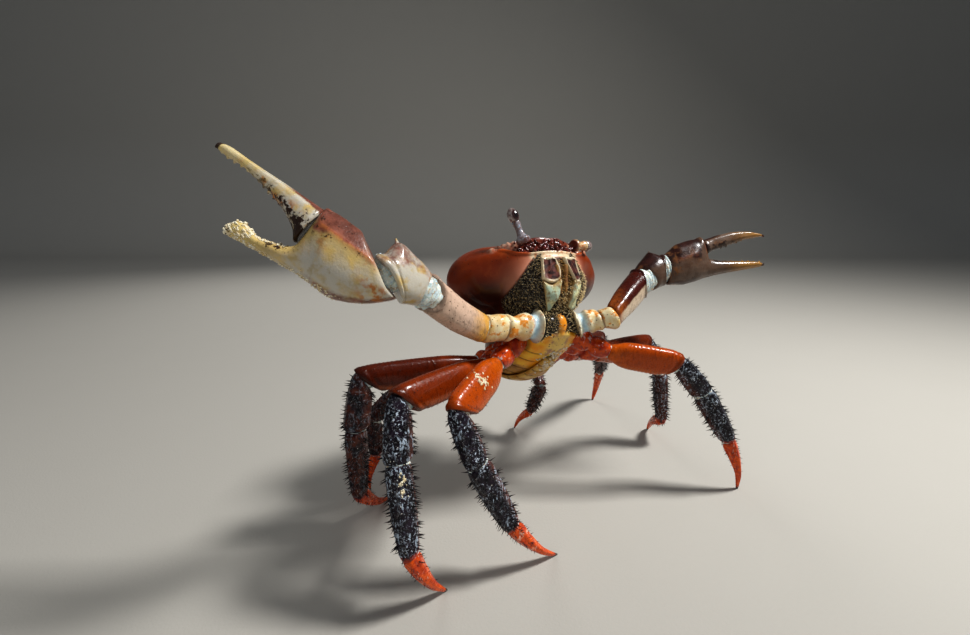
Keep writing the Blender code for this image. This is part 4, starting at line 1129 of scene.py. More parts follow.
def mouth_skins(side):
    """The upper and the lower plate of one outer mouth limb, and the feeler-like palp between them."""
    sign = SIDE_SIGN[side]
    if side == "right":
        upper_edge, lower_edge = (lambda s: 3.6 - 2.4 * np.sin(2.6 * s)), (lambda s: 1.4 + 8.4 * s ** 1.7)
    else:
        upper_edge, lower_edge = (lambda s: 2.4 + 6.0 * s ** 1.3), (lambda s: 8.6 - 2.6 * np.sin(2.2 * s))
    upper = mouth_spots(sign, upper_edge, lambda s: 11.4 + 2.8 * s,
                        lambda a: 4.4 + 0.4 * a, lambda a: -8.8 - 3.0 * np.sin(pi * a ** 0.9))
    lower = mouth_spots(sign, lower_edge, lambda s: 13.8 - 1.2 * s ** 2,
                        lambda a: -9.6 - 3.2 * np.sin(pi * a ** 0.9), lambda a: -31.5 - 4.5 * a)

    def hollowed(down, across):
        dish = np.clip(1 - (np.abs(down) ** 3 + np.abs(across) ** 3) / 0.6, 0, 1)
        return -1.3 * np.sqrt(dish) + 0.5 * bell(across, 0.1 + 0.35 * down, 0.16) * dish, 0 * down

    def ridged(down, across):
        wavy = 0.5 * bell(across, -0.25, 0.3) - 0.45 * np.sin(down * 5 + across * 2)
        return wavy + 0.4 * bell(down, -0.9, 0.15), 0 * down

    plates = (plate_skin(upper, SHELL_CENTRE, SHELL_BULGES, 0.7, 2.4, hollowed),
              plate_skin(lower, SHELL_CENTRE, SHELL_BULGES, 0.7, 2.2, ridged))
    start, end = [standing(reach(SHELL_CENTRE, np.array(place) - SHELL_CENTRE, SHELL_BULGES) + PALP_LIFT)
                  for place in ((sign * 3.4, -46, -2.0), (sign * 2.0, -46, -18.0))]
    return plates, loft(Limb(start, end, FRONT, round_rows(PALP_ROWS)), None, None, 26, 14)


def eye_skins(side):
    """An eye stalk and the eye on it."""
    root, tip = standing(STALK_ROOTS[side]), standing(STALK_TIPS[side])
    length = float(np.linalg.norm(tip - root))
    scale = length * STALK_SHARE / STALK_ROWS[-2][0]
    rows = round_rows((along * scale, radius) for along, radius in STALK_ROWS)
    meeting = (root + (tip - root) * STALK_SHARE, unit(tip - root))
    half_length, _, radius = EYE_RADII
    middle = length - half_length
    eye_rows = round_rows((middle + half_length * sin(turn), radius * EYE_SWELL * cos(turn))
                          for turn in np.linspace(-0.98, 1, 15) * pi / 2)
    gaze = pick(side, radians(88), 0)

    def wrinkled(share, x, angle, height):
        folds = 0.1 * np.sin(x * 2.1 + np.sin(angle)) * smooth(0.7, 0.2, share)
        folds = folds + pick(side, 1.5, 1.1) * bell(share, 0.17, 0.2)
        return folds + pick(side, 0.35, 1.0) * smooth(0.4, 1, share)

    def cornea(share, x, angle, height):
        across = np.angle(np.exp(1j * (angle - gaze))) / 0.85
        return {"around": np.hypot((x - middle + 0.5) / 4.0, across)}

    stalk = loft(Limb(root, tip, FRONT, rows), None, meeting, 44, 44, relief=wrinkled)
    return stalk, loft(Limb(root, tip, FRONT, eye_rows), meeting, None, 56, 64, marks=cornea)


def feeler_skins(sign):
    """The small feelers beside one eye. Sign is that of its side."""
    feelers = []
    for start, end, thick in FEELERS:
        ends = [standing((place[0] * sign, place[1], place[2])) for place in (start, end)]
        length = float(np.linalg.norm(ends[1] - ends[0]))
        rows = round_rows((share * length, thick * width) for share, width in FEELER_ROWS)
        feelers.append(loft(Limb(*ends, FRONT, rows), None, None, 36, 16,
                            relief=lambda share, x, angle, height: 0.06 * np.sin(x * 7)))
    return joined(feelers)


# ==== limb pieces
def loft(limb, start, end, count, sides, square=2.0, relief=None, cuts=(None, None), marks=None):
    """The skin of one limb piece between two planes.

    A cut is an angle in degrees round the piece and how far the end draws back there. Relief and
    marks are functions of the share of the length, the distance along, the angle and the height.
    """
    angle = turns(sides)
    first = limb.meets(moved(start, HALF_GAP), angle, square) if start else np.full(sides, limb.rows[0, 0])
    last = limb.meets(moved(end, -HALF_GAP), angle, square) if end else np.full(sides, limb.rows[-1, 0])
    shelter = [np.clip(np.cos(angle - radians(cut[0])), 0, 1) ** 1.5 if cut else np.zeros(sides)
               for cut in cuts]
    first = first + (cuts[0][1] * shelter[0] if cuts[0] else 0)
    last = last - (cuts[1][1] * shelter[1] if cuts[1] else 0)
    length = float(np.mean(last - first))
    near = np.array((0, 0.25, 0.7, 1.4)) / length
    shares = np.concatenate((near, np.linspace(2.4 / length, 1 - 2.4 / length, count), 1 - near[::-1]))
    x = first + shares[:, None] * (last - first)
    angles = np.broadcast_to(angle, x.shape)
    middle, sideways, upward = limb.section(x, angles, square)
    girth = np.ones(x.shape)
    if start:
        girth -= 0.1 * np.exp(-(x - first) / 0.8)
    if end:
        girth += 0.03 * bell(last - x, 1.6, 1.0) - 0.08 * np.exp(-(last - x) / 0.35)
    share = np.broadcast_to(shares[:, None], x.shape)
    height = middle + upward
    if relief:
        girth = girth + relief(share, x, angles, height) / np.maximum(np.hypot(sideways, upward), 0.5)
    rings = limb.stands(x, sideways * girth, middle + upward * girth)
    caps = []
    for ring, into in ((rings[0], limb.along), (rings[-1], -limb.along)):
        centre = ring.mean(axis=0)
        caps.append([centre + (ring - centre) * scale + into * depth
                     for scale, depth in ((0.9, 0.05), (0.72, 0.7))])
    rings = np.concatenate((np.stack(caps[0][::-1]), rings, np.stack(caps[1])))
    rings[..., 2] = np.maximum(rings[..., 2], 0)
    values = {"along": share, "upper": np.sin(angles), "lie": np.broadcast_to(limb.along, x.shape + (3,)),
              "flexed": np.maximum(shelter[0] * np.exp(-(x - first) / 1.5),
                                   shelter[1] * np.exp(-(last - x) / 1.5))}
    values.update(marks(share, x, angles, height) if marks else {})
    values = held(values, 2, 2)
    if "grow" in values:
        values["grow"][:3] = values["grow"][-3:] = 0
    return Skin(rings, values)


def joint_skin(before, after, joint, reach_back, scale, sides=40, square=2.0):
    """The folded soft skin that bridges two limb pieces at a joint."""
    angle = turns(sides)
    ends = []
    for limb, step in ((before, -reach_back), (after, reach_back)):
        x = np.full(sides, float((np.asarray(joint) - limb.start) @ limb.along) + step)
        middle, sideways, upward = limb.section(x, angle, square)
        ends.append(limb.stands(x, sideways * scale, middle + upward * scale))
    shares = np.linspace(0, 1, 22)[:, None, None]
    rings = ends[0] * (1 - shares) + ends[1] * shares
    centre = rings.mean(axis=1, keepdims=True)
    turn = angle[None, :, None]
    fold = 1 + 0.1 * np.sin(shares * 5 * pi + 0.9 * np.sin(turn * 2)) ** 2
    fold = fold + 0.04 * np.sin(turn * 5 + shares * 9)
    return Skin(centre + (rings - centre) * fold, {"along": np.broadcast_to(shares[..., 0], rings.shape[:2])})


# How far a joint skin reaches into both pieces, and its width as a share of theirs.
CLAW_BRIDGES = {
    ("right", "merus"): (3, 0.78), ("right", "carpus"): (8, 0.84), ("right", "palm"): (5.5, 0.66),
    ("left", "merus"): (3, 0.78), ("left", "carpus"): (8, 0.84), ("left", "palm"): (5.5, 0.74),
}
LEG_BRIDGE = 4.2
LEG_BRIDGES = (0.74, 0.74, 0.83, 0.74)


def leg_joints(side, pair):
    """Joints of a leg from the hip to the toe, and the upper side of each piece."""
    bearing, turn, lean, toe, slopes = LEG_POSES[side, pair]
    sign = SIDE_SIGN[side]
    lean = radians(lean)

    def heading(degrees):
        return np.array((sign * cos(radians(degrees)), -sin(radians(degrees)), 0))

    away = heading(bearing)
    up = np.array((0, 0, cos(lean))) + np.array((-away[1], away[0], 0)) * sign * sin(lean)
    joints = [standing(mirrored(LEG_HIPS[pair], side))]
    uppers = []
    for piece, length, slope in zip(LEG_PIECES, LEG_LENGTHS[pair], slopes + (None,)):
        if piece in ("propodus", "dactyl"):
            away = heading(bearing + turn)
        if slope is None:
            drop = (joints[-1][2] - FOOT_SOLE) / (length * cos(lean))
            angle = -asin(min(1, drop))
            if toe == "under":
                angle = -pi - angle
        else:
            angle = radians(slope)
        joints.append(joints[-1] + length * (cos(angle) * away + sin(angle) * up))
        uppers.append(cos(angle) * up - sin(angle) * away)
    return joints, uppers


def between_bases(side, pair):
    """The plane midway between a leg's base and the one behind it, pointing back."""
    root, next_root, hip, next_hip = [standing(mirrored(places[which], side))
                                      for places in (LEG_ROOTS, LEG_HIPS) for which in (pair, pair + 1)]
    away = hip + next_hip - root - next_root
    back = next_root + next_hip - root - hip
    back = back - away * (back @ away) / (away @ away)
    return (root + next_root + hip + next_hip) / 4, unit(back)


def base_limb(root, hip, upper, rows):
    """The frame of a limb's first piece and the plane of the thorax under it."""
    place = reach(THORAX_CENTRE, np.asarray(root, float) - THORAX_CENTRE, THORAX_BULGES)
    start = standing(place)
    return Limb(start, hip, upper, rows), (start, BODY_TURN @ outward(place[None], THORAX_BULGES)[0])


def pressed(skin, plane, sign):
    """Flattens what lies past a plane on to it. Sign is 1 to keep what lies beyond the plane."""
    level = ((skin.places - plane[0]) @ plane[1]) * sign - HALF_GAP
    skin.places = skin.places - np.minimum(level, 0)[:, None] * plane[1] * sign
    return skin


def stretch(rows, length, girth):
    """Rows of a limb at another length and girth."""
    return [(share * length, low * girth, high * girth, thick * girth) for share, low, high, thick in rows]


def leg_limbs(side, pair):
    """Frames and joint planes of one leg from its base to its toe."""
    joints, uppers = leg_joints(side, pair)
    root = mirrored(LEG_ROOTS[pair], side)
    girth = LEG_GIRTH[pair]
    planes = [joint_plane(before, joint, after)
              for before, joint, after in zip([standing(root)] + joints, joints, joints[1:])]
    rows = stretch(BASE_ROWS, np.linalg.norm(joints[0] - standing(root)), girth)
    base, thorax_plane = base_limb(root, joints[0], uppers[0], rows)
    limbs = [base]
    for piece, start, end, upper in zip(LEG_PIECES, joints, joints[1:], uppers):
        limbs.append(Limb(start, end, upper, stretch(LEG_ROWS[piece], np.linalg.norm(end - start), girth)))
    return limbs, [thorax_plane] + planes


# What each leg piece is like: rings, sides, how far its lower side draws back at both joints, squareness.
LEG_SKINS = {
    "base": (26, 48, 0, 2.2, 2.3),
    "merus": (60, 56, 1.5, 2.6, 2.4),
    "carpus": (44, 60, 1.6, 2.2, 2.2),
    "propodus": (56, 60, 1.2, 1.2, 2.2),
    "dactyl": (56, 48, 0.8, 0, 2.1),
}
HIP_DEPTH = 2.6         # how far the bases start inside the breast
LEG_SLOTS = {"base": "toe_red", "merus": "leg_orange", "carpus": "leg_black", "propodus": "leg_black",
             "dactyl": "toe_red"}


def leg_skin(side, pair, piece, limb, planes):
    """One piece of a leg between the planes at its ends. A toe has no second plane."""
    rings, sides, start_cut, end_cut, square = LEG_SKINS[piece]
    first, last = (*planes, None)[:2]
    if piece == "base":
        first = moved(first, -HIP_DEPTH)
    skin = loft(limb, first, last, rings, sides, square, leg_relief(piece, pair),
                ((-90, start_cut), (-90, end_cut)), leg_marks(piece, SIDE_SIGN[side]))
    for neighbour, sign in ((pair, -1), (pair - 1, 1)):
        if piece == "base" and neighbour in LEG_PAIRS and neighbour + 1 in LEG_PAIRS:
            skin = pressed(skin, between_bases(side, neighbour), sign)
    return skin


def leg_relief(piece, pair):
    """How far the surface of a leg piece stands out from its plain loft."""
    def base(share, x, angle, height):
        lobes = 0.7 * bell(share, 0.75, 0.18) * (1 + 0.4 * np.cos(2 * angle))
        return lobes - 0.9 * bell(share, 0.52, 0.05) + 0.15 * np.sin(3 * angle + 8 * share)

    def merus(share, x, angle, height):
        wrinkles = 0.1 * np.sin(x * 2.6 + 1.8 * np.sin(angle * 2 + 0.25 * x)) * smooth(0.05, 0.2, share)
        end = 0.5 * bell(share, 0.955, 0.02) - 0.45 * bell(share, 0.915, 0.018)
        depth = 1.7 if pair == 2 else 0.3
        deeper = depth * smooth(0, 0.22, share) * smooth(1.05, 0.8, share) * np.sin(angle) ** 2
        return deeper + wrinkles + end * (0.6 + 0.4 * np.cos(angle * 2)) + 0.25 * np.abs(np.cos(angle)) ** 8

    def ribbed(share, x, angle, height):
        ribs = 0.3 * np.cos(6 * angle) + 0.12 * np.sin(x * 1.9 + 3 * np.sin(3 * angle)) * np.cos(6 * angle)
        knots = 0.12 * np.sin(x * 3.1 + 9 * np.sin(angle * 5)) * np.sin(angle * 11 + x)
        return (ribs + knots) * smooth(0, 0.12, share) * smooth(1, 0.9, share)

    def dactyl(share, x, angle, height):
        return 0.3 * np.cos(6 * angle) * smooth(0, 0.1, share) * (1 - 0.75 * share)

    return {"base": base, "merus": merus, "carpus": ribbed, "propodus": ribbed, "dactyl": dactyl}[piece]


# Where sand sticks to a leg piece: how far along it, and the length and width of the patch.
SAND_PATCHES = {"merus": (0.5, 0.06, 0.3), "propodus": (0.2, 0.09, 0.16)}


def leg_marks(piece, sign):
    """The named values that a leg piece's finish reads. Sign is that of its side."""
    def marks(share, x, angle, height):
        rows = np.clip(np.cos(6 * angle), 0, 1) ** 2
        edges = np.clip(np.abs(np.sin(angle)), 0, 1) ** 6
        grow = {
            "carpus": (0.15 + rows) * smooth(0.02, 0.12, share) * smooth(1.0, 0.92, share),
            "propodus": (0.2 + rows) * smooth(0, 0.06, share) * smooth(1.0, 0.95, share),
            "dactyl": (0.2 + rows) * smooth(0.7, 0.15, share),
            "merus": 0.25 * edges * smooth(0.5, 0.9, share) * (np.sin(angle) < 0),
        }.get(piece, np.zeros(x.shape))
        centre, length, width = SAND_PATCHES.get(piece, (0.5, 0.05, 0.3))
        across = bell(np.sin(angle) + 0.14 * np.sin(share * 60), 0.5, width)
        patch = 1.6 * bell(share, centre, length) * across * (np.cos(angle) * sign < 0)
        ruddy = smooth(0.86, 1.0, share) * (piece == "propodus")
        return {"inner": smooth(0.0, -0.7, np.sin(angle)), "grow": grow, "sand": patch, "ruddy": ruddy}
    return marks


CLAW_PIECES = ("merus", "carpus", "palm", "finger")
# What each claw piece is like: rings, sides, the cuts at its joints (degrees round it, depth), squareness.
CLAW_SKINS = {
    ("right", "merus"): (64, 64, (0, 0.4), (-12, 6.5), 2.6),
    ("right", "carpus"): (56, 64, (-12, 5.5), (-20, 5.0), 2.3),
    ("right", "palm"): (150, 88, (-10, 2.6), None, 2.3),
    ("right", "finger"): (90, 56, None, None, 2.1),
    ("left", "merus"): (60, 60, (180, 0.4), (192, 6.5), 2.6),
    ("left", "carpus"): (52, 60, (192, 5.0), (196, 2.4), 2.3),
    ("left", "palm"): (140, 80, (190, 1.4), None, 2.3),
    ("left", "finger"): (84, 52, None, None, 2.1),
}
PALM_LENGTH = 66.0
# Where each claw's palm changes into its fixed finger, along the palm, and the fingers' tooth spacing.
CLAW_TEETH = {"right": (39, 3.1, 0.75), "left": (29, 1.9, 0.8)}


def claw_relief(side, piece):
    """How far the surface of a claw piece stands out from its plain loft."""
    start, spacing, size = CLAW_TEETH[side]

    def teeth(x, angle, facing):
        uneven = 0.6 + 0.4 * np.sin(x * 1.7 + 0.8)
        bumps = np.clip(np.sin(x * 2 * pi / spacing), -0.3, 1) ** 3
        return 1.5 * size * uneven * bumps * bell(angle, facing, 0.42)

    def arm(share, x, angle, height):
        edge = 0.35 * bell(angle, 1.5 * pi, 0.16) + 0.35 * bell(np.abs(angle - pi), pi, 0.14)
        edge = edge + 0.5 * bell(share, 0.965, 0.018) - 0.35 * bell(share, 0.93, 0.015)
        return edge + 0.03 * np.sin(x * 1.3)

    def carpus(share, x, angle, height):
        foot, peak, end, rise = pick(side, (1, 21.5, 26, 5.0), (1, 15, 20, 4.0))
        fin = rise * np.interp(x, (foot, peak, end), (0, 1, 0)) * bell(angle, 0.5 * pi, 0.42)
        folds = 0.35 * np.sin(2 * angle + x * 0.22) * bell(share, 0.5, 0.4) - 0.5 * bell(share, 0.84, 0.03)
        return folds + fin

    def palm(share, x, angle, height):
        gape = teeth(x, angle, 0.5 * pi) * smooth(start, start + 4, x)
        keel = 0.45 * bell(angle, 1.5 * pi, 0.14) * smooth(6, 12, x)
        lip = pick(side, 0.7, 0.0) * bell(x, start - 8.5, 1.6) * smooth(-0.2, 0.5, np.sin(angle))
        ridge, grown = ridge_height(side, x), smooth(2, 6, x)
        crest = 0.5 * bell(height, ridge, 1.1) * grown * smooth(start - 8, start - 12, x)
        swell = -0.5 * bell(height, ridge + 4, 3) * grown * smooth(start - 8, start - 14, x)
        knuckle = pick(side, 0, 1.7) * bell(x, start - 4.4, 2.2) * smooth(0.2, 0.9, np.sin(angle))
        hump = pick(side, 0, -1.0) * bell(x, start - 15, 5) * smooth(0.2, 0.9, np.sin(angle))
        return gape + keel + lip + crest + swell + knuckle + hump

    def finger(share, x, angle, height):
        gape = teeth(x, angle, 1.5 * pi) * smooth(8, 12, x)
        groove = -0.3 * bell(np.abs(np.cos(angle)), 1, 0.08) * smooth(3, 8, x) * smooth(0.95, 0.7, share)
        collar = 0.5 * bell(x, 1.2, 0.8)
        fuller = pick(side, 0.55, 0.3) * bell(share, 0.42, 0.25)
        return gape + groove + collar + fuller + 0.3 * bell(angle, 0.5 * pi, 0.25)

    return {"merus": arm, "carpus": carpus, "palm": palm, "finger": finger}[piece]


def ridge_height(side, x):
    """Height of the ridge that parts a palm's upper side from its faces."""
    return pick(side, 0.8 + 0.37 * x, 1.0 + 0.3 * x)


def claw_marks(side, piece):
    """The named values that a claw piece's finish reads."""
    start = CLAW_TEETH[side][0]

    def palm(share, x, sine, height, angle):
        ridge = height - ridge_height(side, x)
        blush = bell(x, start - 10, 5.5) * bell(height, ridge_height(side, start - 10) - 1, 3.2) * 0.8
        above = np.maximum(smooth(-1.2, 1.5, ridge), blush) * smooth(start - 4, start - 9, x)
        below = smooth(-0.7, -0.98, sine) * 0.55 * smooth(start, start - 14, x)
        upper = np.maximum(above, below)
        crest = bell(ridge, 0, 1.3) * smooth(start - 6, start - 12, x) * smooth(0, 5, x)
        front_edge = bell(x, start - pick(side, 7.6, 2.6), 0.8) * smooth(0.1, 0.6, sine)
        edges = bell(sine, 1, 0.3) * smooth(start + 1, start + 6, x)
        edges = edges + 0.35 * bell(sine, -1, 0.12) * smooth(12, 26, x)
        tip_end = x + 3 * np.sin(x * 0.9 + angle * 3)
        return {
            "upper": upper, "ridge": np.maximum(crest, front_edge * pick(side, 0.6, 4)),
            "stained": smooth(12, 2, x) + 0.7 * bell(x, start - 10, 5) * bell(height, 6, 5),
            "specked": (bell(x, start + 6, 9) * smooth(-0.7, 0.6, sine) + 0.35 * upper
                        + 0.4 * bell(ridge, -2, 2.5) * smooth(start - 4, start - 9, x)),
            "tip": (0.62 * smooth(start + 6, PALM_LENGTH - 8, x)
                    + 0.38 * smooth(PALM_LENGTH - 5, PALM_LENGTH, x)),
            "sand": edges + smooth(PALM_LENGTH - 14, PALM_LENGTH - 4, tip_end),
            "pearl": smooth(0.35, -0.4, sine) * smooth(start + 14, start - 5, x),
        }

    def finger(share, x, sine, height, angle):
        return {
            "upper": smooth(0.55, 0.95, sine) * smooth(0.55, 0.05, share),
            "stained": smooth(0.35, -0.4, sine) * smooth(1.0, 0.5, share),
            "specked": smooth(0.3, -0.7, sine) * smooth(1.0, 0.5, share) + smooth(0.16, 0.02, share) * 0.7,
            "tip": 0.62 * smooth(0.35, 0.9, share) + 0.38 * smooth(0.93, 0.985, share),
            "pearl": np.ones(x.shape),
        }

    def carpus(share, x, sine, height, angle):
        return {"upper": pick(side, 0.45, 1) * smooth(-0.2, 0.9, sine),
                "stained": smooth(0.3, 0.0, share) * 0.6,
                "pearl": np.full(x.shape, pick(side, 1.6, 0.4))}

    def marks(share, x, angle, height):
        sine = np.sin(angle)
        values = {name: np.zeros(x.shape) for name in ("stained", "ridge", "specked", "tip", "sand", "grow")}
        values.update(pearl=np.full(x.shape, 0.5), upper=smooth(-0.2, 0.9, sine))
        own = {"palm": palm, "finger": finger, "carpus": carpus}.get(piece)
        return {**values, **own(share, x, sine, height, angle)} if own else values

    return marks


def claw_limbs(side):
    """Frames, planes and joints of one claw, by piece name."""
    joints = {name: np.array(place, float) for name, place in CLAW_JOINTS[side].items()}
    hinge, elbow, wrist, tip = [joints[name] for name in ("hinge", "elbow", "wrist", "fixed_tip")]
    root = standing(CLAW_ROOTS[side])
    palm = Limb(wrist, tip, joints["finger_tip"] - tip, CLAW_ROWS[side, "palm"])
    tilt = radians(WRIST_TILT[side])
    base, thorax_plane = base_limb(CLAW_ROOTS[side], hinge, (0, 0, 1), CLAW_ROWS[side, "base"])
    along, above = FINGER_HINGES[side]
    knuckle = palm.start + palm.along * along + palm.above * above
    finger = Limb(knuckle, joints["finger_tip"], palm.above, CLAW_ROWS[side, "finger"])
    limbs = {
        "base": base, "merus": Limb(hinge, elbow, (0, 0, 1), CLAW_ROWS[side, "merus"]),
        "carpus": Limb(elbow, wrist, palm.above, CLAW_ROWS[side, "carpus"]), "palm": palm, "finger": finger,
    }
    planes = {
        "base": thorax_plane, "merus": joint_plane(root, hinge, elbow),
        "carpus": joint_plane(hinge, elbow, wrist),
        "palm": (wrist, palm.along * cos(tilt) - palm.above * sin(tilt)), "finger": (knuckle, finger.along),
    }
    return limbs, planes


def claw_base_skin(side, limbs, planes):
    """The first piece of a claw, with a blue ring at its socket and a groove across it."""
    suture, socket = CLAW_BASE_RINGS[side]

    def lobed(share, x, angle, height):
        slant = x + 1.4 * np.sin(angle + 0.6)
        collar = 0.5 * bell(slant, socket + 4.6, 1.2) - 1.1 * bell(slant, socket + 1.4, 2.0)
        collar += 2.4 * bell(slant, socket - 2.2, 0.9) + 0.45 * bell(slant, suture - 2.2, 1.4)
        lumps = 0.35 * np.sin(2 * angle + 0.5 * x) * smooth(socket + 3, socket + 7, x)
        return collar + lumps - 0.7 * bell(slant, suture, 0.7) + 0.6 * bell(slant, suture + 6, 3)

    def marks(share, x, angle, height):
        slant = x + 1.4 * np.sin(angle + 0.6)
        root = smooth(socket - 3.0, socket - 3.8, slant)
        return {"groove": bell(slant, suture, 0.5), "soft": bell(slant, socket + 1.0, 1.9) ** 0.6,
                "root": root, "grow": root.copy()}

    return loft(limbs["base"], planes["base"], planes["merus"], 56, 60, 2.4, lobed, marks=marks)


def claw_skin(side, piece, limbs, planes):
    """One piece of a claw beyond its base. The carpus has a thorn."""
    rings, sides, start_cut, end_cut, square = CLAW_SKINS[side, piece]
    end = {"merus": planes["carpus"], "carpus": planes["palm"]}.get(piece)
    marks = claw_marks(side, piece)
    skin = loft(limbs[piece], planes[piece], end, rings, sides, square, claw_relief(side, piece),
                (start_cut, end_cut), marks)
    if piece == "carpus":
        skin = joined([skin, spine_skin(limbs[piece], *CARPUS_SPINES[side], marks)])
    return skin


def spine_skin(limb, root, tip, radius, marks):
    """A thorn on a limb piece, from a root to a tip in the piece's own frame."""
    start, end = [limb.stands(*place) for place in (root, tip)]
    length = np.linalg.norm(end - start)
    shares = ((0, 1), (0.3, 0.68), (0.6, 0.38), (0.85, 0.17), (1, 0.06))
    rows = [(share * length, -1.9 * radius * width, radius * width, radius * width)
            for share, width in shares]
    return loft(Limb(start, end, limb.along, rows), None, None, 20, 30, marks=marks)


# ==== the add-on
class LandCrabShell(bpy.types.PropertyGroup):
    """Colours and surface of the back shell."""

    shell_colour: FloatVectorProperty(
        name="Shell colour", description="Colour of the upper shell", subtype="COLOR", size=3,
        default=(0.2, 0.024, 0.003), min=0, max=1)
    # The colour of the painted shade on the lower outer cheeks.
    shell_painted_shade: FloatVectorProperty(
        name="Painted shade colour", description="Painted shade low on the outer cheeks", subtype="COLOR", size=3,
        default=(0.016, 0.002, 0.0015), min=0, max=1)
    shell_roughness: FloatProperty(
        name="Roughness", description="How dull the shell is", subtype="FACTOR", default=0.3, min=0, max=1)
    relief: FloatProperty(
        name="Relief", description="Strength of the fine bumps", subtype="FACTOR", default=1.0, min=0, max=3)


class LandCrabHairs(bpy.types.PropertyGroup):
    """Bristles, fur and sand."""

    bristle_length: FloatProperty(
        name="Bristle length", description="Length of the longest bristle on a leg, in millimetres",
        default=3.9, min=0.5, max=8)
    bristle_amount: FloatProperty(
        name="Bristles", description="Bristles on a square millimetre of a leg",
        default=0.34, min=0.01, max=1)
    fur_length: FloatProperty(
        name="Fur length", description="Length of the longest tuft on a cheek, in millimetres",
        default=2.9, min=0.5, max=6)
    fur_amount: FloatProperty(
        name="Fur", description="Tufts on a square millimetre of a cheek", default=1.25, min=0.1, max=6)
    sand_amount: FloatProperty(
        name="Sand", description="Grains on a square millimetre of a sandy spot", default=1.6, min=0, max=4)
    seed: IntProperty(name="Seed", description="Start of the random places", default=4, min=0)


class LandCrabStage(bpy.types.PropertyGroup):
    """Lights and floor."""

    key_power: FloatProperty(
        name="Key light", description="Power of the main light", unit="POWER", default=15, min=0)
    fill: FloatProperty(name="Fill", description="Strength of the light from all round", default=0.17, min=0)
    floor_colour: FloatVectorProperty(
        name="Floor colour", description="Colour of the floor", subtype="COLOR", size=3,
        default=(0.4, 0.38, 0.34), min=0, max=1)


def claw_slot(side):
    """The name of the colour slot that is passed along with a claw's pieces."""
    return pick(side, "claw_ivory", "claw_brown")


class LANDCRAB_OT_shell(bpy.types.Operator):
    """Builds the back shell with its face hollow, rims, grooves and eye corners"""

    bl_idname = "landcrab.shell"
    bl_label = "Back shell"

    def execute(self, context):
        finish = carapace_finish(context.scene.landcrab_shell)
        add_skin("back_shell", carapace_skin(), finish, "shell_chestnut", ("carapace",))
        return {"FINISHED"}


class LANDCRAB_OT_breast(bpy.types.Operator):
    """Builds the breast plates and the folded tail"""

    bl_idname = "landcrab.breast"
    bl_label = "Breast and tail"

    def execute(self, context):
        add_skin("breast_plates", thorax_skin(), breast_finish(), "belly_ochre", ("thorax",))
        add_skin("tail_plates", tail_skin(), tail_finish(), "belly_ochre", ("abdomen",))
        return {"FINISHED"}


class LANDCRAB_OT_mouth(bpy.types.Operator):
    """Builds the plates over the mouth and the feelers between them"""

    bl_idname = "landcrab.mouth"
    bl_label = "Mouth"

    def execute(self, context):
        upper_finish, lower_finish = upper_mouth_finish(), lower_mouth_finish()
        palp_finish = plain_grain_finish("mouth_palp_gold",
                                         (0.3, 0.16, 0.05), (0.16, 0.07, 0.025), 1.2, 0.4, 0.3)
        for side in SIDE_SIGN:
            (upper, lower), palp = mouth_skins(side)
            node = "mouth_plate_" + side
            add_skin("mouth_upper_" + side, upper, upper_finish, "mouth_olive", (node,))
            add_skin("mouth_lower_" + side, lower, lower_finish, "mouth_olive", (node,))
            add_skin("mouth_palp_" + side, palp, palp_finish, "mouth_olive")
        return {"FINISHED"}


class LANDCRAB_OT_eyes(bpy.types.Operator):
    """Builds the eyes, their stalks and the small feelers between them"""

    bl_idname = "landcrab.eyes"
    bl_label = "Eyes and feelers"

    def execute(self, context):
        eye_material, wet = cornea_finish(), wet_red_finish()
        stalks = {
            "right": stalk_finish(
                "eye_stalk_grey", (0.13, 0.075, 0.065), (0.27, 0.24, 0.25), (0.34, 0.42, 0.5)),
            "left": stalk_finish(
                "eye_stalk_cream", (0.42, 0.13, 0.04), (0.6, 0.42, 0.22), (0.62, 0.55, 0.36)),
        }
        for side in SIDE_SIGN:
            stalk, eye = eye_skins(side)
            add_skin("eye_stalk_" + side, stalk, stalks[side], "eye_stalk_grey", ("eyestalk_" + side,))
            add_skin("eye_" + side + "_ball", eye, eye_material, "eye_dark", ("eye_" + side,))
            add_skin("feelers_" + side, feeler_skins(SIDE_SIGN[side]), wet, "eye_stalk_grey")
        return {"FINISHED"}


class LANDCRAB_OT_claws(bpy.types.Operator):
    """Builds both claws, from their bases to their toothed fingers"""

    bl_idname = "landcrab.claws"
    bl_label = "Claws"

    def execute(self, context):
        finishes = {
            "right": claw_finish("claw_ivory", (0.56, 0.4, 0.15), (0.5, 0.46, 0.38), (0.42, 0.15, 0.03),
                                 (0.13, 0.045, 0.03), (0.035, 0.016, 0.009), (0.68, 0.53, 0.22),
                                 (0.04, 0.022, 0.013), 0.75),
            "left": claw_finish("claw_brown", (0.1, 0.055, 0.034), (0.13, 0.085, 0.06), (0.22, 0.09, 0.03),
                                (0.02, 0.005, 0.003), (0.03, 0.015, 0.01), (0.4, 0.19, 0.03),
                                (0.03, 0.012, 0.006), 0.2),
        }
        arms = {
            "right": arm_finish("claw_arm_ivory", (0.7, 0.36, 0.05), (0.6, 0.42, 0.31), (0.3, 0.14, 0.07),
                                (0.1, 0.05, 0.03), (-0.55, -0.95)),
            "left": arm_finish("claw_arm_brown", (0.3, 0.075, 0.01), (0.055, 0.006, 0.002), (0.52, 0.4, 0.28),
                               (0.04, 0.02, 0.012), (0.5, 0.3)),
        }
        cream = claw_base_finish()
        for side in SIDE_SIGN:
            limbs, planes = claw_limbs(side)
            prefix = "claw_" + side + "_"
            base = claw_base_skin(side, limbs, planes)
            add_skin(prefix + "root", base, cream, "claw_ivory", (prefix + "base",))
            for piece in CLAW_PIECES:
                finish = arms[side] if piece == "merus" else finishes[side]
                skin = claw_skin(side, piece, limbs, planes)
                add_skin(prefix + piece + "_skin", skin, finish, claw_slot(side), (prefix + piece,))
        return {"FINISHED"}


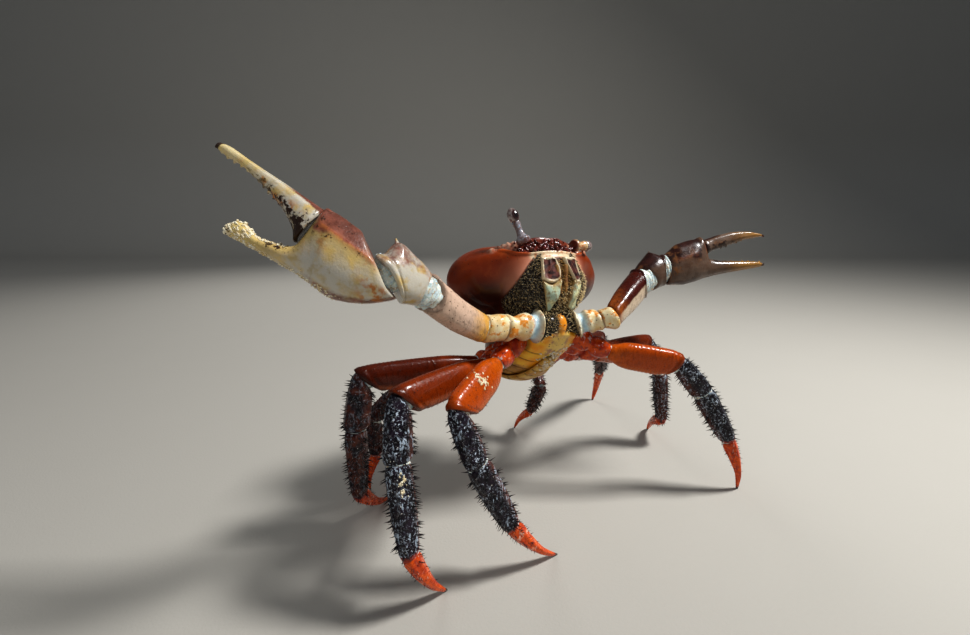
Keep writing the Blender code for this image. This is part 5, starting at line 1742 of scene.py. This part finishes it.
class LANDCRAB_OT_legs(bpy.types.Operator):
    """Builds the eight walking legs"""

    bl_idname = "landcrab.legs"
    bl_label = "Walking legs"

    def execute(self, context):
        toe, hip = toe_finish(), hip_finish()
        black, brown = dark_leg_finish("leg_black", 1.0, 0.0), dark_leg_finish("leg_brown", 0.35, 0.85)
        orange = arm_finish("leg_orange", (0.5, 0.094, 0.002), (0.38, 0.058, 0.001), (0.42, 0.084, 0.004),
                            (0.05, 0.008, 0.004), (-0.3, -0.8))
        chestnut = arm_finish("leg_chestnut", (0.24, 0.032, 0.002), (0.075, 0.01, 0.002), (0.3, 0.06, 0.006),
                              (0.03, 0.006, 0.004), (-0.2, -0.7))
        rust = arm_finish("leg_rust", (0.38, 0.06, 0.002), (0.17, 0.024, 0.002), (0.34, 0.064, 0.004),
                          (0.03, 0.006, 0.004), (-0.2, -0.7))
        for side in SIDE_SIGN:
            for pair in LEG_PAIRS:
                limbs, planes = leg_limbs(side, pair)
                prefix = f"leg_{side}_{pair}_"
                upper, lower = {2: (orange, black), 3: (rust, black)}.get(pair, (chestnut, brown))
                finishes = (hip, upper, lower, lower, toe)
                for index, (piece, finish) in enumerate(zip(LEG_SKINS, finishes)):
                    skin = leg_skin(side, pair, piece, limbs[index], planes[index:index + 2])
                    add_skin(prefix + piece + "_skin", skin, finish, LEG_SLOTS[piece], (prefix + piece,))
        return {"FINISHED"}


class LANDCRAB_OT_joints(bpy.types.Operator):
    """Builds the soft folded skin that shows at the joints of the limbs"""

    bl_idname = "landcrab.joints"
    bl_label = "Joint skins"

    def execute(self, context):
        pale = membrane_finish()
        for side in SIDE_SIGN:
            limbs, planes = claw_limbs(side)
            skins = [joint_skin(limbs[before], limbs[after], planes[after][0], *CLAW_BRIDGES[side, after])
                     for before, after in zip(("base",) + CLAW_PIECES, CLAW_PIECES[:-1])]
            add_skin("claw_joints_" + side, joined(skins), pale, claw_slot(side))
            skins = []
            for pair in LEG_PAIRS:
                limbs, planes = leg_limbs(side, pair)
                skins += [joint_skin(before, after, plane[0], LEG_BRIDGE * LEG_GIRTH[pair], share)
                          for before, after, plane, share in zip(limbs, limbs[1:], planes[1:], LEG_BRIDGES)]
            add_skin("leg_joints_" + side, joined(skins), pale, "leg_orange")
        return {"FINISHED"}


def surfaces(names):
    """The finished skins of these names."""
    missing = [name for name in names if name not in SURFACES]
    if missing:
        raise RuntimeError("Build these first: " + ", ".join(missing))
    return [SURFACES[name] for name in names]


class LANDCRAB_OT_bristles(bpy.types.Operator):
    """Grows the stiff black bristles of the legs"""

    bl_idname = "landcrab.bristles"
    bl_label = "Leg bristles"

    def execute(self, context):
        hairs = context.scene.landcrab_hairs
        black = hair_finish("bristle_black", (0.008, 0.006, 0.007), (0.025, 0.014, 0.012), 0.3, 1.0)
        group = repeat_group("Leg bristles", "surface", spike_shape)
        for index, side in enumerate(SIDE_SIGN):
            for number, (piece, share, radius) in enumerate((
                    ("merus", 0.4, 0.16), ("carpus", 0.88, 0.4),
                    ("propodus", 1.0, 0.42), ("dactyl", 0.5, 0.24))):
                skins = surfaces([f"leg_{side}_{pair}_{piece}_skin" for pair in LEG_PAIRS])
                sizes = sizes_of(hairs.bristle_amount, hairs.bristle_length * share, radius, lean=0.3,
                                 spread=0.2, bend=0.12, smallest=0.6, sink=0.3,
                                 seed=hairs.seed + 10 * index + number)
                grow_on(f"bristles_{side}_{piece}", skins, group, black, LEG_SLOTS[piece], sizes)
        return {"FINISHED"}


class LANDCRAB_OT_fur(bpy.types.Operator):
    """Grows the short fur of the cheeks and the hairs between the mouth plates"""

    bl_idname = "landcrab.fur"
    bl_label = "Face fur"

    def execute(self, context):
        hairs = context.scene.landcrab_hairs
        fur = hair_finish("cheek_fur", (0.008, 0.006, 0.006), (0.8, 0.62, 0.32), 0.46, 0.88)
        gold = hair_finish("mouth_hair_gold", (0.07, 0.03, 0.01), (0.62, 0.38, 0.11), 0.2, 0.9)
        group = repeat_group("Face fur", "surface", spike_shape)
        sizes = sizes_of(hairs.fur_amount, hairs.fur_length, 0.4, lean=0.45, spread=0.42, bend=0.25,
                         smallest=0.45, sink=0.2, seed=hairs.seed)
        for name, skin, slot in (
                ("fur_cheeks", "back_shell", "shell_chestnut"), ("fur_chin", "breast_plates", "belly_ochre"),
                ("fur_claw_right", "claw_right_root", "claw_ivory"),
                ("fur_claw_left", "claw_left_root", "claw_ivory")):
            grow_on(name, surfaces([skin]), group, fur, slot, sizes)
        sizes = sizes_of(hairs.fur_amount * 1.2, 2.6, 0.26, lean=0.6, spread=0.6, bend=0.3, smallest=0.4,
                         sink=0.1, seed=hairs.seed + 1)
        grow_on("mouth_hairs", surfaces(["back_shell"]), group, gold, "mouth_olive", sizes, "gap")
        return {"FINISHED"}


class LANDCRAB_OT_grains(bpy.types.Operator):
    """Sets the knobs of the face hollow, the white grains of the claws and the sand on the crab"""

    bl_idname = "landcrab.grains"
    bl_label = "Knobs and sand"

    def execute(self, context):
        hairs = context.scene.landcrab_hairs
        wet = wet_red_finish()
        white = plain_grain_finish("grain_white", (0.8, 0.74, 0.6), (0.62, 0.48, 0.3), 0.8, 0.3, 0.5)
        sand = plain_grain_finish("sand_pale", (0.82, 0.77, 0.6), (0.66, 0.52, 0.3), 0.7, 0.75, 0.0)
        group = repeat_group("Grains on a skin", "surface", grain_shape)
        row_group = repeat_group("Grains on a path", "path", grain_shape)
        knobs = sizes_of(0.75, 1, 1.0, bend=0.7, smallest=0.4, seed=hairs.seed)
        grow_on("face_knobs", surfaces(["back_shell"]), group, wet, "shell_chestnut", knobs, "knobs")
        crumbs = sizes_of(hairs.sand_amount, 1, 0.6, bend=2.2, smallest=0.35, seed=hairs.seed + 1)
        lumps = sizes_of(hairs.sand_amount * 0.28, 1, 0.95, bend=2.6, smallest=0.4, seed=hairs.seed + 3)
        for name, skins, slot, finish, sizes in (
                ("sand_claw", ["claw_right_palm_skin"], "claw_ivory", sand, crumbs),
                ("sand_leg", ["leg_right_2_merus_skin", "leg_right_3_propodus_skin"],
                 "leg_orange", sand, crumbs),
                ("sand_breast", ["breast_plates"], "belly_ochre", white, lumps),
                ("sand_tail", ["tail_plates"], "belly_ochre", white, lumps)):
            grow_on(name, surfaces(skins), group, finish, slot, sizes, "sand")
        for side in SIDE_SIGN:
            limbs = claw_limbs(side)[0]
            rows = [edge_row(limbs["merus"], -90, 4, 44), edge_row(limbs["palm"], -90, 6, 34)]
            beads = sizes_of(1.5, 1, 0.42, spread=0.3, bend=0.4, smallest=0.45, seed=hairs.seed + 2)
            set_along("claw_grains_" + side, rows, row_group, white, claw_slot(side), beads)
        return {"FINISHED"}


def edge_row(limb, degrees, first, last):
    """Places on a limb's loft at one angle round it, with the directions out of it."""
    x = np.linspace(first, last, 40)
    angle = np.full(40, radians(degrees))
    middle, sideways, upward = limb.section(x, angle, 2.3)
    places = limb.stands(x, sideways, middle + upward)
    centres = limb.stands(x, sideways * 0, middle)
    return places, unit(places - centres)


# Each light's name, place and aim in metres, size, and share of the main light's power.
LIGHTS = (
    ("key_light", (0.55, -0.35, 0.95), (0, 0, 0.09), 0.2, 1),
    ("side_light", (-1.1, -0.8, 0.5), (0, 0, 0.1), 1.1, 0.22),
    ("rim_light", (0.1, 1.0, 0.7), (0, 0, 0.1), 0.6, 0.25),
)
SKY_COLOUR = (0.8, 0.88, 1.0, 1)
CAMERA_PLACE = (-0.16395, -0.2361, 0.1885)
CAMERA_LENS = 17.41
CAMERA_DIP = 13.66          # degrees below level
CAMERA_HEADING = -30.5
# The floor in metres: half its width, where it ends before and behind the crab, its height and its bend.
FLOOR_HALF_WIDTH = 6.4
FLOOR_FRONT = -1.5
FLOOR_BACK = 1.4
FLOOR_HEIGHT = 2.0
FLOOR_BEND = 0.5


class LANDCRAB_OT_stage(bpy.types.Operator):
    """Sets the floor, the lights and the camera"""

    bl_idname = "landcrab.stage"
    bl_label = "Stage"

    def execute(self, context):
        scene = context.scene
        stage = scene.landcrab_stage
        floor = bpy.data.objects.new("floor", floor_mesh())
        finish = Finish("stage_floor")
        finish.colour = tuple(stage.floor_colour)
        finish.coat(finish.noise(60, 4) * 0.15, (0.34, 0.32, 0.28))
        floor.data.materials.append(finish.finish(0.8, [(finish.noise(1.5, 5), 0.15)]))
        scene.collection.objects.link(floor)
        for name, place, aim, size, share in LIGHTS:
            lamp = bpy.data.lights.new(name, "AREA")
            lamp.energy = stage.key_power * share
            lamp.size = size
            light = bpy.data.objects.new(name, lamp)
            light.location = place
            light.rotation_mode = "QUATERNION"
            light.rotation_quaternion = (Vector(aim) - Vector(place)).to_track_quat("-Z", "Y")
            light.visible_glossy = name == "key_light"
            scene.collection.objects.link(light)
        world = bpy.data.worlds.new("studio")
        world.use_nodes = True
        background = world.node_tree.nodes["Background"]
        background.inputs["Color"].default_value = SKY_COLOUR
        background.inputs["Strength"].default_value = stage.fill
        scene.world = world
        lens = bpy.data.cameras.new("Camera")
        lens.sensor_width = 36
        lens.lens = CAMERA_LENS
        camera = bpy.data.objects.new("Camera", lens)
        camera.location = CAMERA_PLACE
        camera.rotation_euler = (radians(90 - CAMERA_DIP), 0, radians(CAMERA_HEADING))
        scene.collection.objects.link(camera)
        scene.camera = camera
        scene.view_settings.view_transform = "Standard"
        scene.view_settings.look = "Medium High Contrast"
        return {"FINISHED"}


def floor_mesh():
    """A floor that sweeps up into a backdrop behind the crab."""
    turns = [radians(90 * step / 16) for step in range(17)]
    profile = [(FLOOR_FRONT, 0.0)]
    profile += [(FLOOR_BACK + FLOOR_BEND * sin(turn), FLOOR_BEND * (1 - cos(turn))) for turn in turns]
    profile += [(FLOOR_BACK + FLOOR_BEND, FLOOR_HEIGHT + FLOOR_BEND)]
    heading = Matrix.Rotation(radians(CAMERA_HEADING), 3, "Z")
    places = [heading @ Vector((x, y, z)) for y, z in profile for x in (-FLOOR_HALF_WIDTH, FLOOR_HALF_WIDTH)]
    faces = [(2 * step, 2 * step + 1, 2 * step + 3, 2 * step + 2) for step in range(len(profile) - 1)]
    mesh = bpy.data.meshes.new("floor")
    mesh.from_pydata(places, [], faces)
    mesh.shade_smooth()
    return mesh


OPERATORS = (
    LANDCRAB_OT_shell, LANDCRAB_OT_breast, LANDCRAB_OT_mouth, LANDCRAB_OT_eyes, LANDCRAB_OT_claws,
    LANDCRAB_OT_legs, LANDCRAB_OT_joints, LANDCRAB_OT_bristles, LANDCRAB_OT_fur, LANDCRAB_OT_grains,
    LANDCRAB_OT_stage,
)


GROUPS = {"landcrab_shell": LandCrabShell, "landcrab_hairs": LandCrabHairs, "landcrab_stage": LandCrabStage}


class LANDCRAB_PT_panel(bpy.types.Panel):
    """Lists the crab's pieces in the sidebar"""

    bl_idname = "LANDCRAB_PT_panel"
    bl_label = "Land Crab"
    bl_space_type = "VIEW_3D"
    bl_region_type = "UI"
    bl_category = "Land Crab"

    def draw(self, context):
        for name, made in GROUPS.items():
            box = self.layout.box()
            for field in made.__annotations__:
                box.prop(getattr(context.scene, name), field)
        for made in OPERATORS:
            self.layout.operator(made.bl_idname)


def register():
    """Adds the classes and the settings to Blender."""
    for made in (*GROUPS.values(), *OPERATORS, LANDCRAB_PT_panel):
        bpy.utils.register_class(made)
    for name, made in GROUPS.items():
        setattr(bpy.types.Scene, name, PointerProperty(type=made))


def unregister():
    """Takes them out again."""
    for name in GROUPS:
        delattr(bpy.types.Scene, name)
    for made in (LANDCRAB_PT_panel, *reversed(OPERATORS), *reversed(GROUPS.values())):
        bpy.utils.unregister_class(made)


def main():
    """Builds every piece."""
    register()
    for made in OPERATORS:
        group, _, name = made.bl_idname.partition(".")
        getattr(getattr(bpy.ops, group), name)()


if __name__ == "__main__":
    main()
